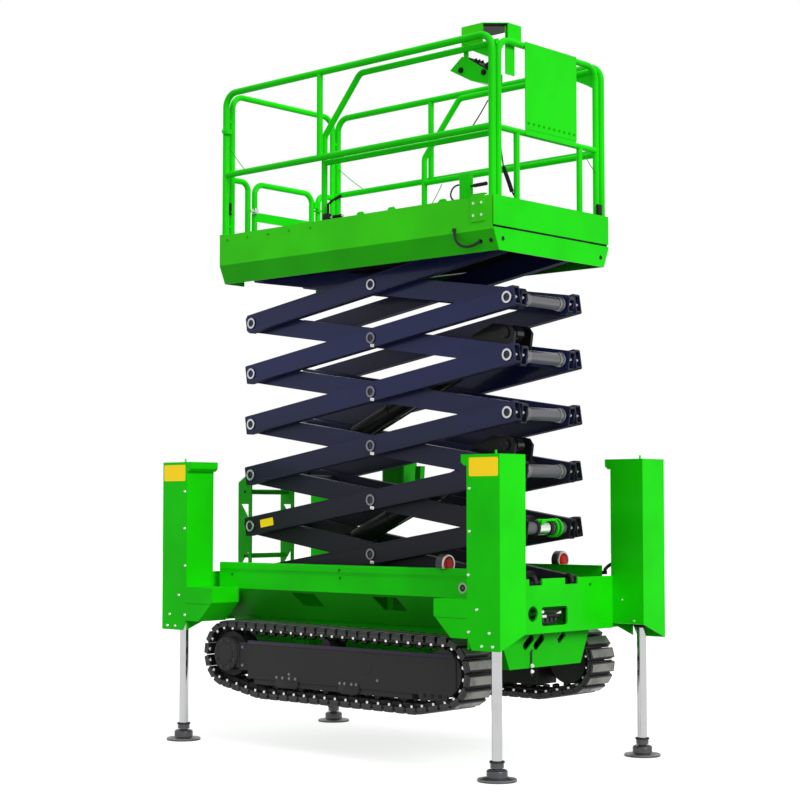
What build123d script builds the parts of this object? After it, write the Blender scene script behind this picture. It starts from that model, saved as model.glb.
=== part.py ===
from build123d import *
import math
import os

os.makedirs("parts", exist_ok=True)

# A tracked scissor lift, standing on its four levelling legs with its tracks off the ground.
# Millimetres. +X is the front, +Y the left side and +Z up.
# The origin is on the ground, midway between the four feet.

# ---- Shared clearances ----
RUNNING_GAP = 0.08  # radial gap of a shaft in its bore
SEAT_GAP = 0.3  # gap under a piece that slides or rolls
MOVING_GAP = 6  # least gap between pieces that pass each other

# ---- Levelling legs ----
LEG_X = 1290  # foot centres
LEG_Y = 677
RAM_DIAMETER = 58
RAM_TOP = 1140  # top of the chrome rod at rest, inside its guide
RAM_FOOT = 80  # where the chrome rod enters its foot
PAD_DIAMETER = 215
PAD_RIM = 8
PAD_HEIGHT = 24
PAD_HUB_DIAMETER = 113
PAD_HUB_TOP = 60
NECK_DIAMETER = 45
COLLAR_DIAMETER = 74
COLLAR_WALL = 8
COLLAR_TOP = 107
GUIDE_WIDTH = 104
GUIDE_BOTTOM = 770

# ---- Leg columns: folded sheet housings round the guides ----
COLUMN_X = (1161, 1394)
COLUMN_Y = (552, 774)
COLUMN_TOP = 1760
COLUMN_WALL = 6
COLUMN_INNER_BOTTOM = 785
COLUMN_OUTER_BOTTOM = 700
COLUMN_CORNER_CUT = (34, 75)
CAP_REACH = 40
CAP_DEPTH = 60
CAP_BEVEL = 18
CAP_PIN_DIAMETER = 12
CAP_PIN_LENGTH = 24

# ---- Crossmembers between the columns ----
CROSS_PLATE = 12
CROSS_FACE_X = 1172
CROSS_BOTTOM = 757
CROSS_TOP = 1066
ARM_END_X = 920  # outrigger arm's end nearest the middle of the machine
ARM_TOP = 971
ARM_END_BOTTOM = 880
ARM_BOTTOM = 760
ARM_BEVEL_X = 1045
NOTCH_DEPTH = 37
NOTCH_WIDTH = 120
NOTCH_Y = (-184, 148)
WINDOW_SIZE = (240, 108)
WINDOW_RADIUS = 18
WINDOW_PLACE = (-11, 851)
CABLE_HOLE_DIAMETER = 88
CABLE_HOLE_PLACE = (-211, 870)

# ---- Chassis ----
CHASSIS_HALF_WIDTH = 548
CHASSIS_FLOOR_HALF_WIDTH = 455
CHASSIS_BOTTOM = 785
CHASSIS_PLATE = 10
COVER_X = 1101
COVER_BOTTOM = 964
COVER_TOP = 1127
COVER_SHEET = 5
COVER_FLANGE = 42
COVER_GROOVE_Z = 1067
COVER_GROOVE = 5
LEDGE_WIDTH = 60
SLOT_X = (-450, 228)
SLOT_LENGTH = 195
SLOT_TOP = 950
SLOT_BOTTOM = 872
SLOT_LEAN = 55

# ---- Undercarriage box between the tracks ----
BELLY_X = 1097
BELLY_BOTTOM = 559
BELLY_BOTTOM_HALF_WIDTH = 330
BELLY_TOP_HALF_WIDTH = 432
BELLY_PLATE = 8
BELLY_HOLE_SLANT = 37  # degrees
BELLY_HOLES = [  # (y, z, length, width) of the slanted holes in the front plate
    (-159, 706, 112, 46),
    (-63, 701, 112, 46),
    (149, 718, 84, 34),
]
AXLE_X = 430
AXLE_WIDTH = 120
AXLE_Z = (575, 660)
BATTERY_SIZE = (900, 480)
BATTERY_TOP = 740

# ---- Tracks ----
TRACK_OUTER_Y = 681
TRACK_WIDTH = 236
SPROCKET_CENTRE = (-893, 563)
IDLER_CENTRE = (893, 548)
SPROCKET_RADIUS = 205
IDLER_RADIUS = 202
ROLLER_LINE_X = (-600, 690)
ROLLER_RADIUS = 62
TRACK_BOTTOM = 306
BAND_THICKNESS = 34
SHOE_HEIGHT = 30
SHOE_COUNT = 56
SHOE_SHARE = 0.82
FRAME_BEAM_X = (-650, 660)
FRAME_BEAM_Y = (470, 664)
FRAME_BEAM_Z = (392, 622)
FRAME_BEAM_BEVEL = 40
DRIVE_COVER_DIAMETER = 206
CARRIER_ROLLER_X = -60
CARRIER_ROLLER_RADIUS = 40

# ---- Scissor arms ----
PIVOT_FRONT_X = 1075
PIVOT_REAR_X = -1068
PIVOT_BASE_Z = 1024
STAGE_RISE = 329.2
STAGES = 6
OUTER_BEAM_Y = (258, 313)
INNER_BEAM_Y = (195, 250)
BEAM_HEIGHT = 118
BEAM_OVERHANG = 53
BEAM_BEVEL = 6
TOP_BEAM_BEVEL = 20  # the top stage turns close under the deck
BEAM_WALL = 8
BEAM_POCKET = 150  # depth of the open end of a beam
SLEEVE_END_GAP = 7  # from an axle's sleeve to the inner beams
AXLE_DIAMETER = 50
CENTRE_PIN_DIAMETER = 50
BOSS_DIAMETER = 74
BOSS_HEIGHT = 6
BOSS_BORE = 30
CROSS_TUBE_DIAMETER = 76
CROSS_TUBE_INSET = 234  # from the end pivot along the arm
SMALL_TUBE_DIAMETER = 56  # front tube of the arms above the ears
SMALL_TUBE_INSET = 76
ROLLER_DIAMETER = 80
ROLLER_RAIL_FRONT_X = -330

# ---- Lift cylinders ----
BASE_STAGES = (1, 3)  # inner arms that hold a cylinder's base
EYE_STAGES = (3, 5)  # inner arms that hold a rod's eye
BASE_REACH = 1552  # base pin, from the front pivot along the lower arm
EYE_REACH = 220  # rod eye, from the front pivot along the upper arm
EYE_RISE = 122  # rod eye above the upper arm's centre line
BARREL_DIAMETER = 112
BARREL_LENGTH = 1190
ROD_DIAMETER = 66
ROD_LENGTH = 1225
LUG_WIDTH = 60
LUG_DIAMETER = 96
LIFT_PIN_DIAMETER = 44
EAR_GAP = 140  # the barrel passes between the ears
EAR_THICKNESS = 20
PIN_HEAD = 12
PIN_HEAD_DIAMETER = 66
EAR_CORNERS = [  # (along the arm from its front pivot, above its centre line)
    (150, -30),
    (330, -30),
    (470, 36),
    (470, 84),
    (318, 170),
    (184, 170),
    (150, 136),
]

# ---- Platform ----
DECK_X = (-1127, 1167)
DECK_HALF_WIDTH = 542
DECK_SKIRT_HALF_WIDTH = 495
DECK_SKIRT_BOTTOM = 2913
DECK_FOLD = 3027
TOE_TOP = 3223
DECK_SHEET = 5
FLOOR_PLATE = 6
FLOOR_RISE = 73  # underside of the floor above the top pivots
RAIL_DIAMETER = 42
INNER_RAIL_DIAMETER = 38
CROSSBAR_STEP = 2  # middle tubes and posts are this much thinner than the hoops
RAIL_TOP = 4171
MID_RAIL_Z = 3619
RAIL_BEND = 90
RAIL_PAIR_GAP = 13.7  # between a main rail and the extension's rail beside it
MIDDLE_POST_X = -240
LOW_ARCH_TOP = 3615
GATE_HALF_WIDTH = 282
GATE_BAR_Z = (3348, 3408)
GATE_POST_GAP = 22
GATE_HINGE_DIAMETER = 12

# ---- Extension deck ----
EXTENSION_REAR_X = -272
EXTENSION_PAD = 5
PAD_Y = (380, 420)
PAD_REAR_X = -1000
TREAD_X = (-980, EXTENSION_REAR_X - 8)
TREAD_HALF_WIDTH = 350
TREAD_PLATE = 3
EXTENSION_TOE_BOTTOM = 3052
EXTENSION_RAIL_TOP = 4146
EXTENSION_RAIL_DROP = 20  # side rails below the front hoop
EXTENSION_MID_Z = 3594
EXTENSION_TOP_END_X = 54
EXTENSION_SLANT_END_Z = 3759
EXTENSION_POST_X = -251
GUSSET_X = (905, 1069)  # top rear corner and lower tip of the plate in the rail's corner
GUSSET_TIP_Z = 4030
GUSSET_PLATE = 6
PANEL_HALF_WIDTH = 243
PANEL_BOTTOM = 3640
PANEL_SHEET = 4
LOW_POST_Y = 297


# ---------------------------------------------------------------------------
# Building blocks
# ---------------------------------------------------------------------------
def block(x, y, z):
    """A box between a pair of x values, a pair of y values and a pair of z values."""
    centre = [(low + high) / 2 for low, high in (x, y, z)]
    size = [abs(high - low) for low, high in (x, y, z)]
    return Pos(*centre) * Box(*size)


def rod_y(x, z, diameter, y):
    """A round bar across the machine."""
    return Pos(x, (y[0] + y[1]) / 2, z) * Rot(90, 0, 0) * Cylinder(diameter / 2, abs(y[1] - y[0]))


def rod_z(x, y, diameter, z):
    """An upright round bar."""
    return Pos(x, y, (z[0] + z[1]) / 2) * Cylinder(diameter / 2, abs(z[1] - z[0]))


def rod_x(y, z, diameter, x):
    """A round bar along the machine."""
    return Pos((x[0] + x[1]) / 2, y, z) * Rot(0, 90, 0) * Cylinder(diameter / 2, abs(x[1] - x[0]))


def plate_y(points, y):
    """An outline of (x, z) points, thick from one y value to the other."""
    face = make_face(Polyline(*[(px, pz) for px, pz in points], close=True))
    return Pos(0, max(y), 0) * extrude(Plane.XZ * face, amount=abs(y[1] - y[0]))


def plate_x(points, x):
    """An outline of (y, z) points, thick from one x value to the other."""
    face = make_face(Polyline(*[(py, pz) for py, pz in points], close=True))
    return Pos(min(x), 0, 0) * extrude(Plane.YZ * face, amount=abs(x[1] - x[0]))


def bent_tube(points, diameter, bend):
    """A round tube along straight runs joined by bends of one radius."""
    path = FilletPolyline(*points, radius=bend)
    section = Plane(origin=path @ 0, z_dir=path % 0) * Circle(diameter / 2)
    return sweep(section, path=path)


def both_sides(solid):
    """The solid and its mirror image on the other side of the machine."""
    return [solid, mirror(solid, about=Plane.XZ)]


def joined(pieces):
    """One solid out of touching pieces."""
    whole = pieces[0]
    for piece in pieces[1:]:
        whole = whole + piece
    return whole


def save(name, *solids):
    """One node as a STEP file."""
    shape = solids[0] if len(solids) == 1 else Compound(children=list(solids))
    export_step(shape, f"parts/{name}.step")


# ---------------------------------------------------------------------------
# Levelling legs
# ---------------------------------------------------------------------------
def leg_ram(x, y):
    """The chrome rod that slides in the guide."""
    return rod_z(x, y, RAM_DIAMETER, (RAM_FOOT, RAM_TOP))


def foot_pad(x, y):
    """A dished steel foot with its hub, neck and collar, below the rod."""
    profile = [
        (0, 0),
        (PAD_DIAMETER / 2, 0),
        (PAD_DIAMETER / 2, PAD_RIM),
        (PAD_HUB_DIAMETER / 2, PAD_HEIGHT),
        (PAD_HUB_DIAMETER / 2, PAD_HEIGHT + 10),
        (NECK_DIAMETER / 2 + 8, PAD_HUB_TOP),
        (NECK_DIAMETER / 2, PAD_HUB_TOP),
        (NECK_DIAMETER / 2, RAM_FOOT - COLLAR_WALL),
        (COLLAR_DIAMETER / 2, RAM_FOOT - COLLAR_WALL),
        (COLLAR_DIAMETER / 2, COLLAR_TOP),
        (RAM_DIAMETER / 2, COLLAR_TOP),
        (RAM_DIAMETER / 2, RAM_FOOT),
        (0, RAM_FOOT),
    ]
    face = Plane.XZ * make_face(Polyline(*profile, close=True))
    return Pos(x, y, 0) * revolve(face, axis=Axis.Z)


def leg_guide(x, y):
    """The square tube, bored for the rod, that is fixed inside the column."""
    half = GUIDE_WIDTH / 2
    top = COLUMN_TOP - COLUMN_WALL
    tube = block((x - half, x + half), (y - half, y + half), (GUIDE_BOTTOM, top))
    bore = rod_z(x, y, RAM_DIAMETER + 2 * RUNNING_GAP, (GUIDE_BOTTOM, top - COLUMN_WALL))
    return tube - bore


def front_left_column():
    """A sheet housing with a slanted open bottom and a cap that reaches towards the middle."""
    x0, x1 = COLUMN_X
    y0, y1 = COLUMN_Y
    outline = [
        (y0, COLUMN_INNER_BOTTOM),
        (y1, COLUMN_OUTER_BOTTOM),
        (y1, COLUMN_TOP),
        (y0, COLUMN_TOP),
    ]
    shell = plate_x(outline, (x0, x1))
    wall = COLUMN_WALL
    hollow = block((x0 + wall, x1 - wall), (y0 + wall, y1 - wall), (0, COLUMN_TOP - wall))
    cut_x, cut_z = COLUMN_CORNER_CUT
    corner = plate_y(
        [
            (x0, COLUMN_OUTER_BOTTOM + cut_z),
            (x0 + cut_x, COLUMN_OUTER_BOTTOM),
            (x0, COLUMN_OUTER_BOTTOM),
        ],
        (y1 - wall, y1),
    )
    inner_x = x0 - CAP_REACH
    cap = plate_y(
        [
            (x0, COLUMN_TOP - CAP_DEPTH),
            (x0 - CAP_BEVEL, COLUMN_TOP - CAP_DEPTH),
            (inner_x, COLUMN_TOP - CAP_DEPTH + CAP_BEVEL),
            (inner_x, COLUMN_TOP),
            (x0, COLUMN_TOP),
        ],
        (y0, y1),
    )
    pin = rod_z(LEG_X, LEG_Y, CAP_PIN_DIAMETER, (COLUMN_TOP, COLUMN_TOP + CAP_PIN_LENGTH))
    return joined([shell - hollow - corner, cap, pin])


CORNERS = {  # name: (x sign, y sign)
    "front_left": (1, 1),
    "front_right": (1, -1),
    "rear_left": (-1, 1),
    "rear_right": (-1, -1),
}


def at_corner(solid, corner):
    """The front left piece moved to another corner by mirroring."""
    x_sign, y_sign = CORNERS[corner]
    if y_sign < 0:
        solid = mirror(solid, about=Plane.XZ)
    if x_sign < 0:
        solid = mirror(solid, about=Plane.YZ)
    return solid


for corner in CORNERS:
    x_sign, y_sign = CORNERS[corner]
    save(f"leg_column_{corner}", at_corner(front_left_column(), corner))
    save(f"leg_ram_{corner}", leg_ram(x_sign * LEG_X, y_sign * LEG_Y))
    save(f"foot_pad_{corner}", foot_pad(x_sign * LEG_X, y_sign * LEG_Y))
save("leg_guides", *[leg_guide(x * LEG_X, y * LEG_Y) for x, y in CORNERS.values()])


# ---------------------------------------------------------------------------
# Crossmembers and outrigger arms
# ---------------------------------------------------------------------------
def crossmember_blank():
    """The upright plate between the front columns, with the arms that carry the columns."""
    back = CROSS_FACE_X - CROSS_PLATE
    y = COLUMN_Y[0]
    plate = block((back, CROSS_FACE_X), (-y, y), (CROSS_BOTTOM, CROSS_TOP))
    arm = plate_y(
        [
            (ARM_END_X, ARM_TOP),
            (ARM_END_X, ARM_END_BOTTOM),
            (ARM_BEVEL_X, ARM_BOTTOM),
            (COLUMN_X[0], ARM_BOTTOM),
            (COLUMN_X[0], ARM_TOP),
        ],
        (CHASSIS_HALF_WIDTH, COLUMN_Y[1]),
    )
    return joined([plate, *both_sides(arm)])


def front_crossmember():
    """The front plate also has hose notches, a cable hole and a window."""
    whole = crossmember_blank()
    span = (CROSS_FACE_X - 2 * CROSS_PLATE, CROSS_FACE_X + CROSS_PLATE)
    notch_z = (CROSS_TOP - NOTCH_DEPTH, CROSS_TOP + 1)
    for y in NOTCH_Y:
        whole = whole - block(span, (y - NOTCH_WIDTH / 2, y + NOTCH_WIDTH / 2), notch_z)
    window = Pos(span[0], WINDOW_PLACE[0], WINDOW_PLACE[1]) * extrude(
        Plane.YZ * RectangleRounded(*WINDOW_SIZE, WINDOW_RADIUS), amount=3 * CROSS_PLATE
    )
    hole = rod_x(*CABLE_HOLE_PLACE, CABLE_HOLE_DIAMETER, span)
    return whole - window - hole


save("front_crossmember", front_crossmember())
save("rear_crossmember", mirror(crossmember_blank(), about=Plane.YZ))


# ---------------------------------------------------------------------------
# Chassis: an open tray with slanted sides
# ---------------------------------------------------------------------------
CHASSIS_X = CROSS_FACE_X - CROSS_PLATE
ROLLER_RAIL_TOP = PIVOT_BASE_Z - ROLLER_DIAMETER / 2 - SEAT_GAP
ROLLER_RAIL_X = (-CHASSIS_X, ROLLER_RAIL_FRONT_X)
EAR_RADIUS = 48


def chassis_side():
    """The left slanted side plate with its ledge under the cover and its two slots."""
    t = CHASSIS_PLATE
    outline = [
        (CHASSIS_FLOOR_HALF_WIDTH, CHASSIS_BOTTOM),
        (CHASSIS_HALF_WIDTH, COVER_BOTTOM),
        (CHASSIS_HALF_WIDTH - LEDGE_WIDTH, COVER_BOTTOM),
        (CHASSIS_HALF_WIDTH - LEDGE_WIDTH, COVER_BOTTOM - t),
        (CHASSIS_HALF_WIDTH - 2 * t, COVER_BOTTOM - t),
        (CHASSIS_FLOOR_HALF_WIDTH - t, CHASSIS_BOTTOM),
    ]
    side = plate_x(outline, (-CHASSIS_X, CHASSIS_X))
    for x in SLOT_X:
        slot = plate_y(
            [
                (x, SLOT_TOP),
                (x + SLOT_LENGTH, SLOT_TOP),
                (x + SLOT_LENGTH + SLOT_LEAN, SLOT_BOTTOM),
                (x + SLOT_LEAN, SLOT_BOTTOM),
            ],
            (CHASSIS_FLOOR_HALF_WIDTH, CHASSIS_HALF_WIDTH + t),
        )
        side = side - slot
    return side


def chassis_frame():
    """Floor, sides, ends, roller rails and the front ears of the lowest arms."""
    t = CHASSIS_PLATE
    floor_y = (-CHASSIS_FLOOR_HALF_WIDTH, CHASSIS_FLOOR_HALF_WIDTH)
    floor = block((-CHASSIS_X, CHASSIS_X), floor_y, (CHASSIS_BOTTOM, CHASSIS_BOTTOM + t))
    pieces = [floor, *both_sides(chassis_side())]
    rail_y = INNER_BEAM_Y
    rail = block(ROLLER_RAIL_X, rail_y, (CHASSIS_BOTTOM + t, ROLLER_RAIL_TOP))
    pieces += both_sides(rail)
    ear = plate_y(
        [
            (PIVOT_FRONT_X - EAR_RADIUS, CHASSIS_BOTTOM + t),
            (CHASSIS_X, CHASSIS_BOTTOM + t),
            (CHASSIS_X, COVER_BOTTOM),
            (PIVOT_FRONT_X + EAR_RADIUS, PIVOT_BASE_Z),
            (PIVOT_FRONT_X - EAR_RADIUS, PIVOT_BASE_Z),
        ],
        OUTER_BEAM_Y,
    ) + rod_y(PIVOT_FRONT_X, PIVOT_BASE_Z, 2 * EAR_RADIUS, OUTER_BEAM_Y)
    ear = ear - rod_y(PIVOT_FRONT_X, PIVOT_BASE_Z, AXLE_DIAMETER + 2 * RUNNING_GAP, OUTER_BEAM_Y)
    pieces += both_sides(ear)
    return joined(pieces)


def side_cover():
    """The left side cover: a folded sheet with flanges and a groove along it."""
    y = CHASSIS_HALF_WIDTH
    sheet = block((-COVER_X, COVER_X), (y - COVER_SHEET, y), (COVER_BOTTOM, COVER_TOP))
    flanges = [
        block((-COVER_X, COVER_X), (y - COVER_FLANGE, y), z)
        for z in ((COVER_TOP - COVER_SHEET, COVER_TOP), (COVER_BOTTOM, COVER_BOTTOM + COVER_SHEET))
    ]
    groove = block(
        (-COVER_X, COVER_X),
        (y - COVER_SHEET / 2, y),
        (COVER_GROOVE_Z - COVER_GROOVE / 2, COVER_GROOVE_Z + COVER_GROOVE / 2),
    )
    return joined([sheet, *flanges]) - groove


def undercarriage():
    """The closed box between the tracks, with the stubs that carry the track frames."""
    plate = BELLY_PLATE

    def outline(inset):
        return [
            (-BELLY_BOTTOM_HALF_WIDTH + inset, BELLY_BOTTOM + inset),
            (BELLY_BOTTOM_HALF_WIDTH - inset, BELLY_BOTTOM + inset),
            (BELLY_TOP_HALF_WIDTH - inset, CHASSIS_BOTTOM),
            (-BELLY_TOP_HALF_WIDTH + inset, CHASSIS_BOTTOM),
        ]

    inside = plate_x(outline(plate), (plate - BELLY_X, BELLY_X - plate))
    box = plate_x(outline(0), (-BELLY_X, BELLY_X)) - inside
    for y, z, length, width in BELLY_HOLES:
        sketch = Plane.YZ * Rot(0, 0, BELLY_HOLE_SLANT) * SlotOverall(length, width)
        box = box - Pos(BELLY_X - 2 * plate, y, z) * extrude(sketch, amount=3 * plate)
    stubs = []
    stub_y = (BELLY_BOTTOM_HALF_WIDTH, FRAME_BEAM_Y[0])
    for x in (-AXLE_X, AXLE_X):
        stub = block((x - AXLE_WIDTH / 2, x + AXLE_WIDTH / 2), stub_y, AXLE_Z)
        stubs += both_sides(stub - inside)
    return joined([box, *stubs])


save("chassis_frame", chassis_frame())
save("side_covers", *both_sides(side_cover()))
save("undercarriage", undercarriage())
battery_x = BATTERY_SIZE[0] / 2
battery_y = BATTERY_SIZE[1] / 2
save(
    "battery_block",
    block((-battery_x, battery_x), (-battery_y, battery_y), (BELLY_BOTTOM + BELLY_PLATE, BATTERY_TOP)),
)


# ---------------------------------------------------------------------------
# Tracks
# ---------------------------------------------------------------------------
ROLLER_LINE_Z = TRACK_BOTTOM + ROLLER_RADIUS
TRACK_WHEELS = [  # (x, z, radius) of the outside of the shoes, anticlockwise from the sprocket
    (*SPROCKET_CENTRE, SPROCKET_RADIUS),
    (ROLLER_LINE_X[0], ROLLER_LINE_Z, ROLLER_RADIUS),
    (ROLLER_LINE_X[1], ROLLER_LINE_Z, ROLLER_RADIUS),
    (*IDLER_CENTRE, IDLER_RADIUS),
]


def track_path():
    """Runs and arcs of the loop: each is (length, function from distance to point and normal)."""
    legs = []
    count = len(TRACK_WHEELS)
    tangents = []
    for i in range(count):
        xa, za, ra = TRACK_WHEELS[i]
        xb, zb, rb = TRACK_WHEELS[(i + 1) % count]
        span = math.hypot(xb - xa, zb - za)
        heading = math.atan2(zb - za, xb - xa)
        normal = heading - math.pi / 2 + math.asin((ra - rb) / span)
        length = math.sqrt(span**2 - (ra - rb) ** 2)
        tangents.append((normal, length))
    for i in range(count):
        x, z, r = TRACK_WHEELS[i]
        before = tangents[i - 1][0]
        after = tangents[i][0]
        while after < before:
            after += 2 * math.pi
        legs.append(("arc", r * (after - before), x, z, r, before))
        normal, length = tangents[i]
        legs.append(("run", length, x, z, r, normal))
    return legs


def track_point(legs, distance, inset):
    """A point at a distance along the loop, set in from its outside."""
    for kind, length, x, z, r, normal in legs:
        if distance <= length:
            break
        distance -= length
    along = 0
    if kind == "arc":
        normal = normal + distance / r
    else:
        along = distance
    reach = r - inset
    out_x, out_z = math.cos(normal), math.sin(normal)
    return (x + reach * out_x - along * out_z, z + reach * out_z + along * out_x)


def track():
    """The left track: one closed loop whose outline has every shoe."""
    legs = track_path()
    total = sum(leg[1] for leg in legs)
    pitch = total / SHOE_COUNT
    outer = []
    inner = []
    for i in range(SHOE_COUNT):
        start = i * pitch
        end = start + SHOE_SHARE * pitch
        outer.append(track_point(legs, start, 0))
        outer.append(track_point(legs, end, 0))
        outer.append(track_point(legs, end, SHOE_HEIGHT))
        outer.append(track_point(legs, start + pitch, SHOE_HEIGHT))
        inner.append(track_point(legs, start, SHOE_HEIGHT + BAND_THICKNESS))
    y = (TRACK_OUTER_Y - TRACK_WIDTH, TRACK_OUTER_Y)
    return plate_y(outer, y) - plate_y(inner, y)


def track_frame():
    """The left side beam with the seat rollers' guards and one carrier roller."""
    x0, x1 = FRAME_BEAM_X
    z0, z1 = FRAME_BEAM_Z
    bevel = FRAME_BEAM_BEVEL
    outline = [(x0, z0), (x1, z0), (x1, z1 - bevel), (x1 - bevel, z1), (x0, z1)]
    beam = plate_y(outline, FRAME_BEAM_Y)
    legs = track_path()
    inside = SHOE_HEIGHT + BAND_THICKNESS
    roller_y = (FRAME_BEAM_Y[0] + 30, FRAME_BEAM_Y[1] - 30)
    pieces = [beam]
    roller_z = TRACK_BOTTOM + inside + SEAT_GAP + ROLLER_RADIUS - inside / 2
    for x in range(-480, 600, 210):
        pieces.append(rod_y(x, roller_z, 2 * ROLLER_RADIUS - inside, roller_y))
    top = z1 + 20
    pieces.append(rod_y(CARRIER_ROLLER_X, top + 8, 2 * CARRIER_ROLLER_RADIUS, roller_y))
    nose = (x1 - 10, IDLER_CENTRE[0])
    pieces.append(block(nose, roller_y, (IDLER_CENTRE[1] - 30, IDLER_CENTRE[1] + 30)))
    tail = (SPROCKET_CENTRE[0], x0 + 10)
    pieces.append(block(tail, (FRAME_BEAM_Y[0], FRAME_BEAM_Y[0] + 40), (SPROCKET_CENTRE[1] - 70, z1 - 10)))
    return joined(pieces)


def track_wheels():
    """The left sprocket with its drive cover, and the idler."""
    inside = SHOE_HEIGHT + BAND_THICKNESS + SEAT_GAP
    sprocket_y = (FRAME_BEAM_Y[0] + 40, FRAME_BEAM_Y[1] - 40)
    sx, sz = SPROCKET_CENTRE
    sprocket = rod_y(sx, sz, 2 * (SPROCKET_RADIUS - inside - 4), sprocket_y)
    cover = rod_y(sx, sz, DRIVE_COVER_DIAMETER, (sprocket_y[1], TRACK_OUTER_Y))
    ix, iz = IDLER_CENTRE
    idler = rod_y(ix, iz, 2 * (IDLER_RADIUS - inside - 4), (FRAME_BEAM_Y[0], FRAME_BEAM_Y[1]))
    nose = block((0, ix), (FRAME_BEAM_Y[0] + 30, FRAME_BEAM_Y[1] - 30), (iz - 30, iz + 30))
    return [sprocket + cover, idler - nose]


save("track_left", track())
save("track_right", mirror(track(), about=Plane.XZ))
save("track_frames", *both_sides(track_frame()))
wheels = track_wheels()
save("track_wheels", *wheels, *[mirror(wheel, about=Plane.XZ) for wheel in wheels])


# ---------------------------------------------------------------------------
# Scissor arms
# ---------------------------------------------------------------------------
ARM_SPAN = PIVOT_FRONT_X - PIVOT_REAR_X
ARM_LENGTH = math.hypot(ARM_SPAN, STAGE_RISE)
ARM_ANGLE = math.degrees(math.atan2(STAGE_RISE, ARM_SPAN))
CENTRE_X = (PIVOT_FRONT_X + PIVOT_REAR_X) / 2
TOP_BEAM_REACH = max(
    math.hypot(BEAM_OVERHANG, BEAM_HEIGHT / 2 - TOP_BEAM_BEVEL),
    math.hypot(BEAM_OVERHANG - TOP_BEAM_BEVEL, BEAM_HEIGHT / 2),
)  # furthest point of a top beam's end from its pivot


def level(index):
    """Height of the end pivots above stage number index."""
    return PIVOT_BASE_Z + index * STAGE_RISE


def beam(y, stage):
    """One straight beam, centred on its middle pin, along X, with hollow ends round a bush."""
    half = ARM_LENGTH / 2 + BEAM_OVERHANG
    high = BEAM_HEIGHT / 2
    cut = TOP_BEAM_BEVEL if stage == STAGES else BEAM_BEVEL
    outline = [
        (-half + cut, -high),
        (half - cut, -high),
        (half, -high + cut),
        (half, high - cut),
        (half - cut, high),
        (-half + cut, high),
        (-half, high - cut),
        (-half, -high + cut),
    ]
    whole = plate_y(outline, y)
    pocket_y = (y[0] + BEAM_WALL, y[1] - BEAM_WALL)
    pocket_z = (cut + BEAM_WALL - high, high - cut - BEAM_WALL)
    for sign in (-1, 1):
        pocket = block((sign * (half - BEAM_POCKET), sign * (half + 1)), pocket_y, pocket_z)
        whole = whole - (pocket - rod_y(sign * ARM_LENGTH / 2, 0, BOSS_DIAMETER, y))
    return whole


def outer_arms(stage):
    """Two outer beams with the end axles and centre pins that pass through the inner beams."""
    reach = ARM_LENGTH / 2
    beams = both_sides(beam(OUTER_BEAM_Y, stage))
    axle_y = (-OUTER_BEAM_Y[0], OUTER_BEAM_Y[0])
    sleeve_end = INNER_BEAM_Y[0] - SLEEVE_END_GAP
    axles = [rod_y(x, 0, AXLE_DIAMETER, axle_y) for x in (-reach, reach)]
    pieces = [beams[0], axles[0], beams[1], axles[1]]
    for x in (-reach, reach):
        pieces.append(rod_y(x, 0, BOSS_DIAMETER, (-sleeve_end, sleeve_end)))
    if stage == 1:
        pieces += both_sides(rod_y(-reach, 0, ROLLER_DIAMETER, INNER_BEAM_Y))
    pieces += both_sides(rod_y(0, 0, CENTRE_PIN_DIAMETER, (INNER_BEAM_Y[0], OUTER_BEAM_Y[0])))
    ring_y = (OUTER_BEAM_Y[1], OUTER_BEAM_Y[1] + BOSS_HEIGHT)
    for x in (-reach, 0, reach):
        ring = rod_y(x, 0, BOSS_DIAMETER, ring_y) - rod_y(x, 0, BOSS_BORE, ring_y)
        pieces += both_sides(ring)
    whole = joined(pieces)
    place = Pos(CENTRE_X, 0, level(stage - 0.5)) * Rot(0, -ARM_ANGLE, 0)
    return place * whole


def lift_ears():
    """Two ears on stub tubes, with a clear way between them for the cylinder."""
    outline = [(ARM_LENGTH / 2 - along, rise) for along, rise in EAR_CORNERS]
    ear_y = (EAR_GAP / 2, EAR_GAP / 2 + EAR_THICKNESS)
    ear = plate_y(outline, ear_y)
    stub = rod_y(ARM_LENGTH / 2 - CROSS_TUBE_INSET, 0, CROSS_TUBE_DIAMETER, (ear_y[1], INNER_BEAM_Y[0]))
    head_y = (ear_y[1], ear_y[1] + PIN_HEAD)
    head = rod_y(ARM_LENGTH / 2 - EYE_REACH, EYE_RISE, PIN_HEAD_DIAMETER, head_y)
    return both_sides(joined([ear, stub, head]))


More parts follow.
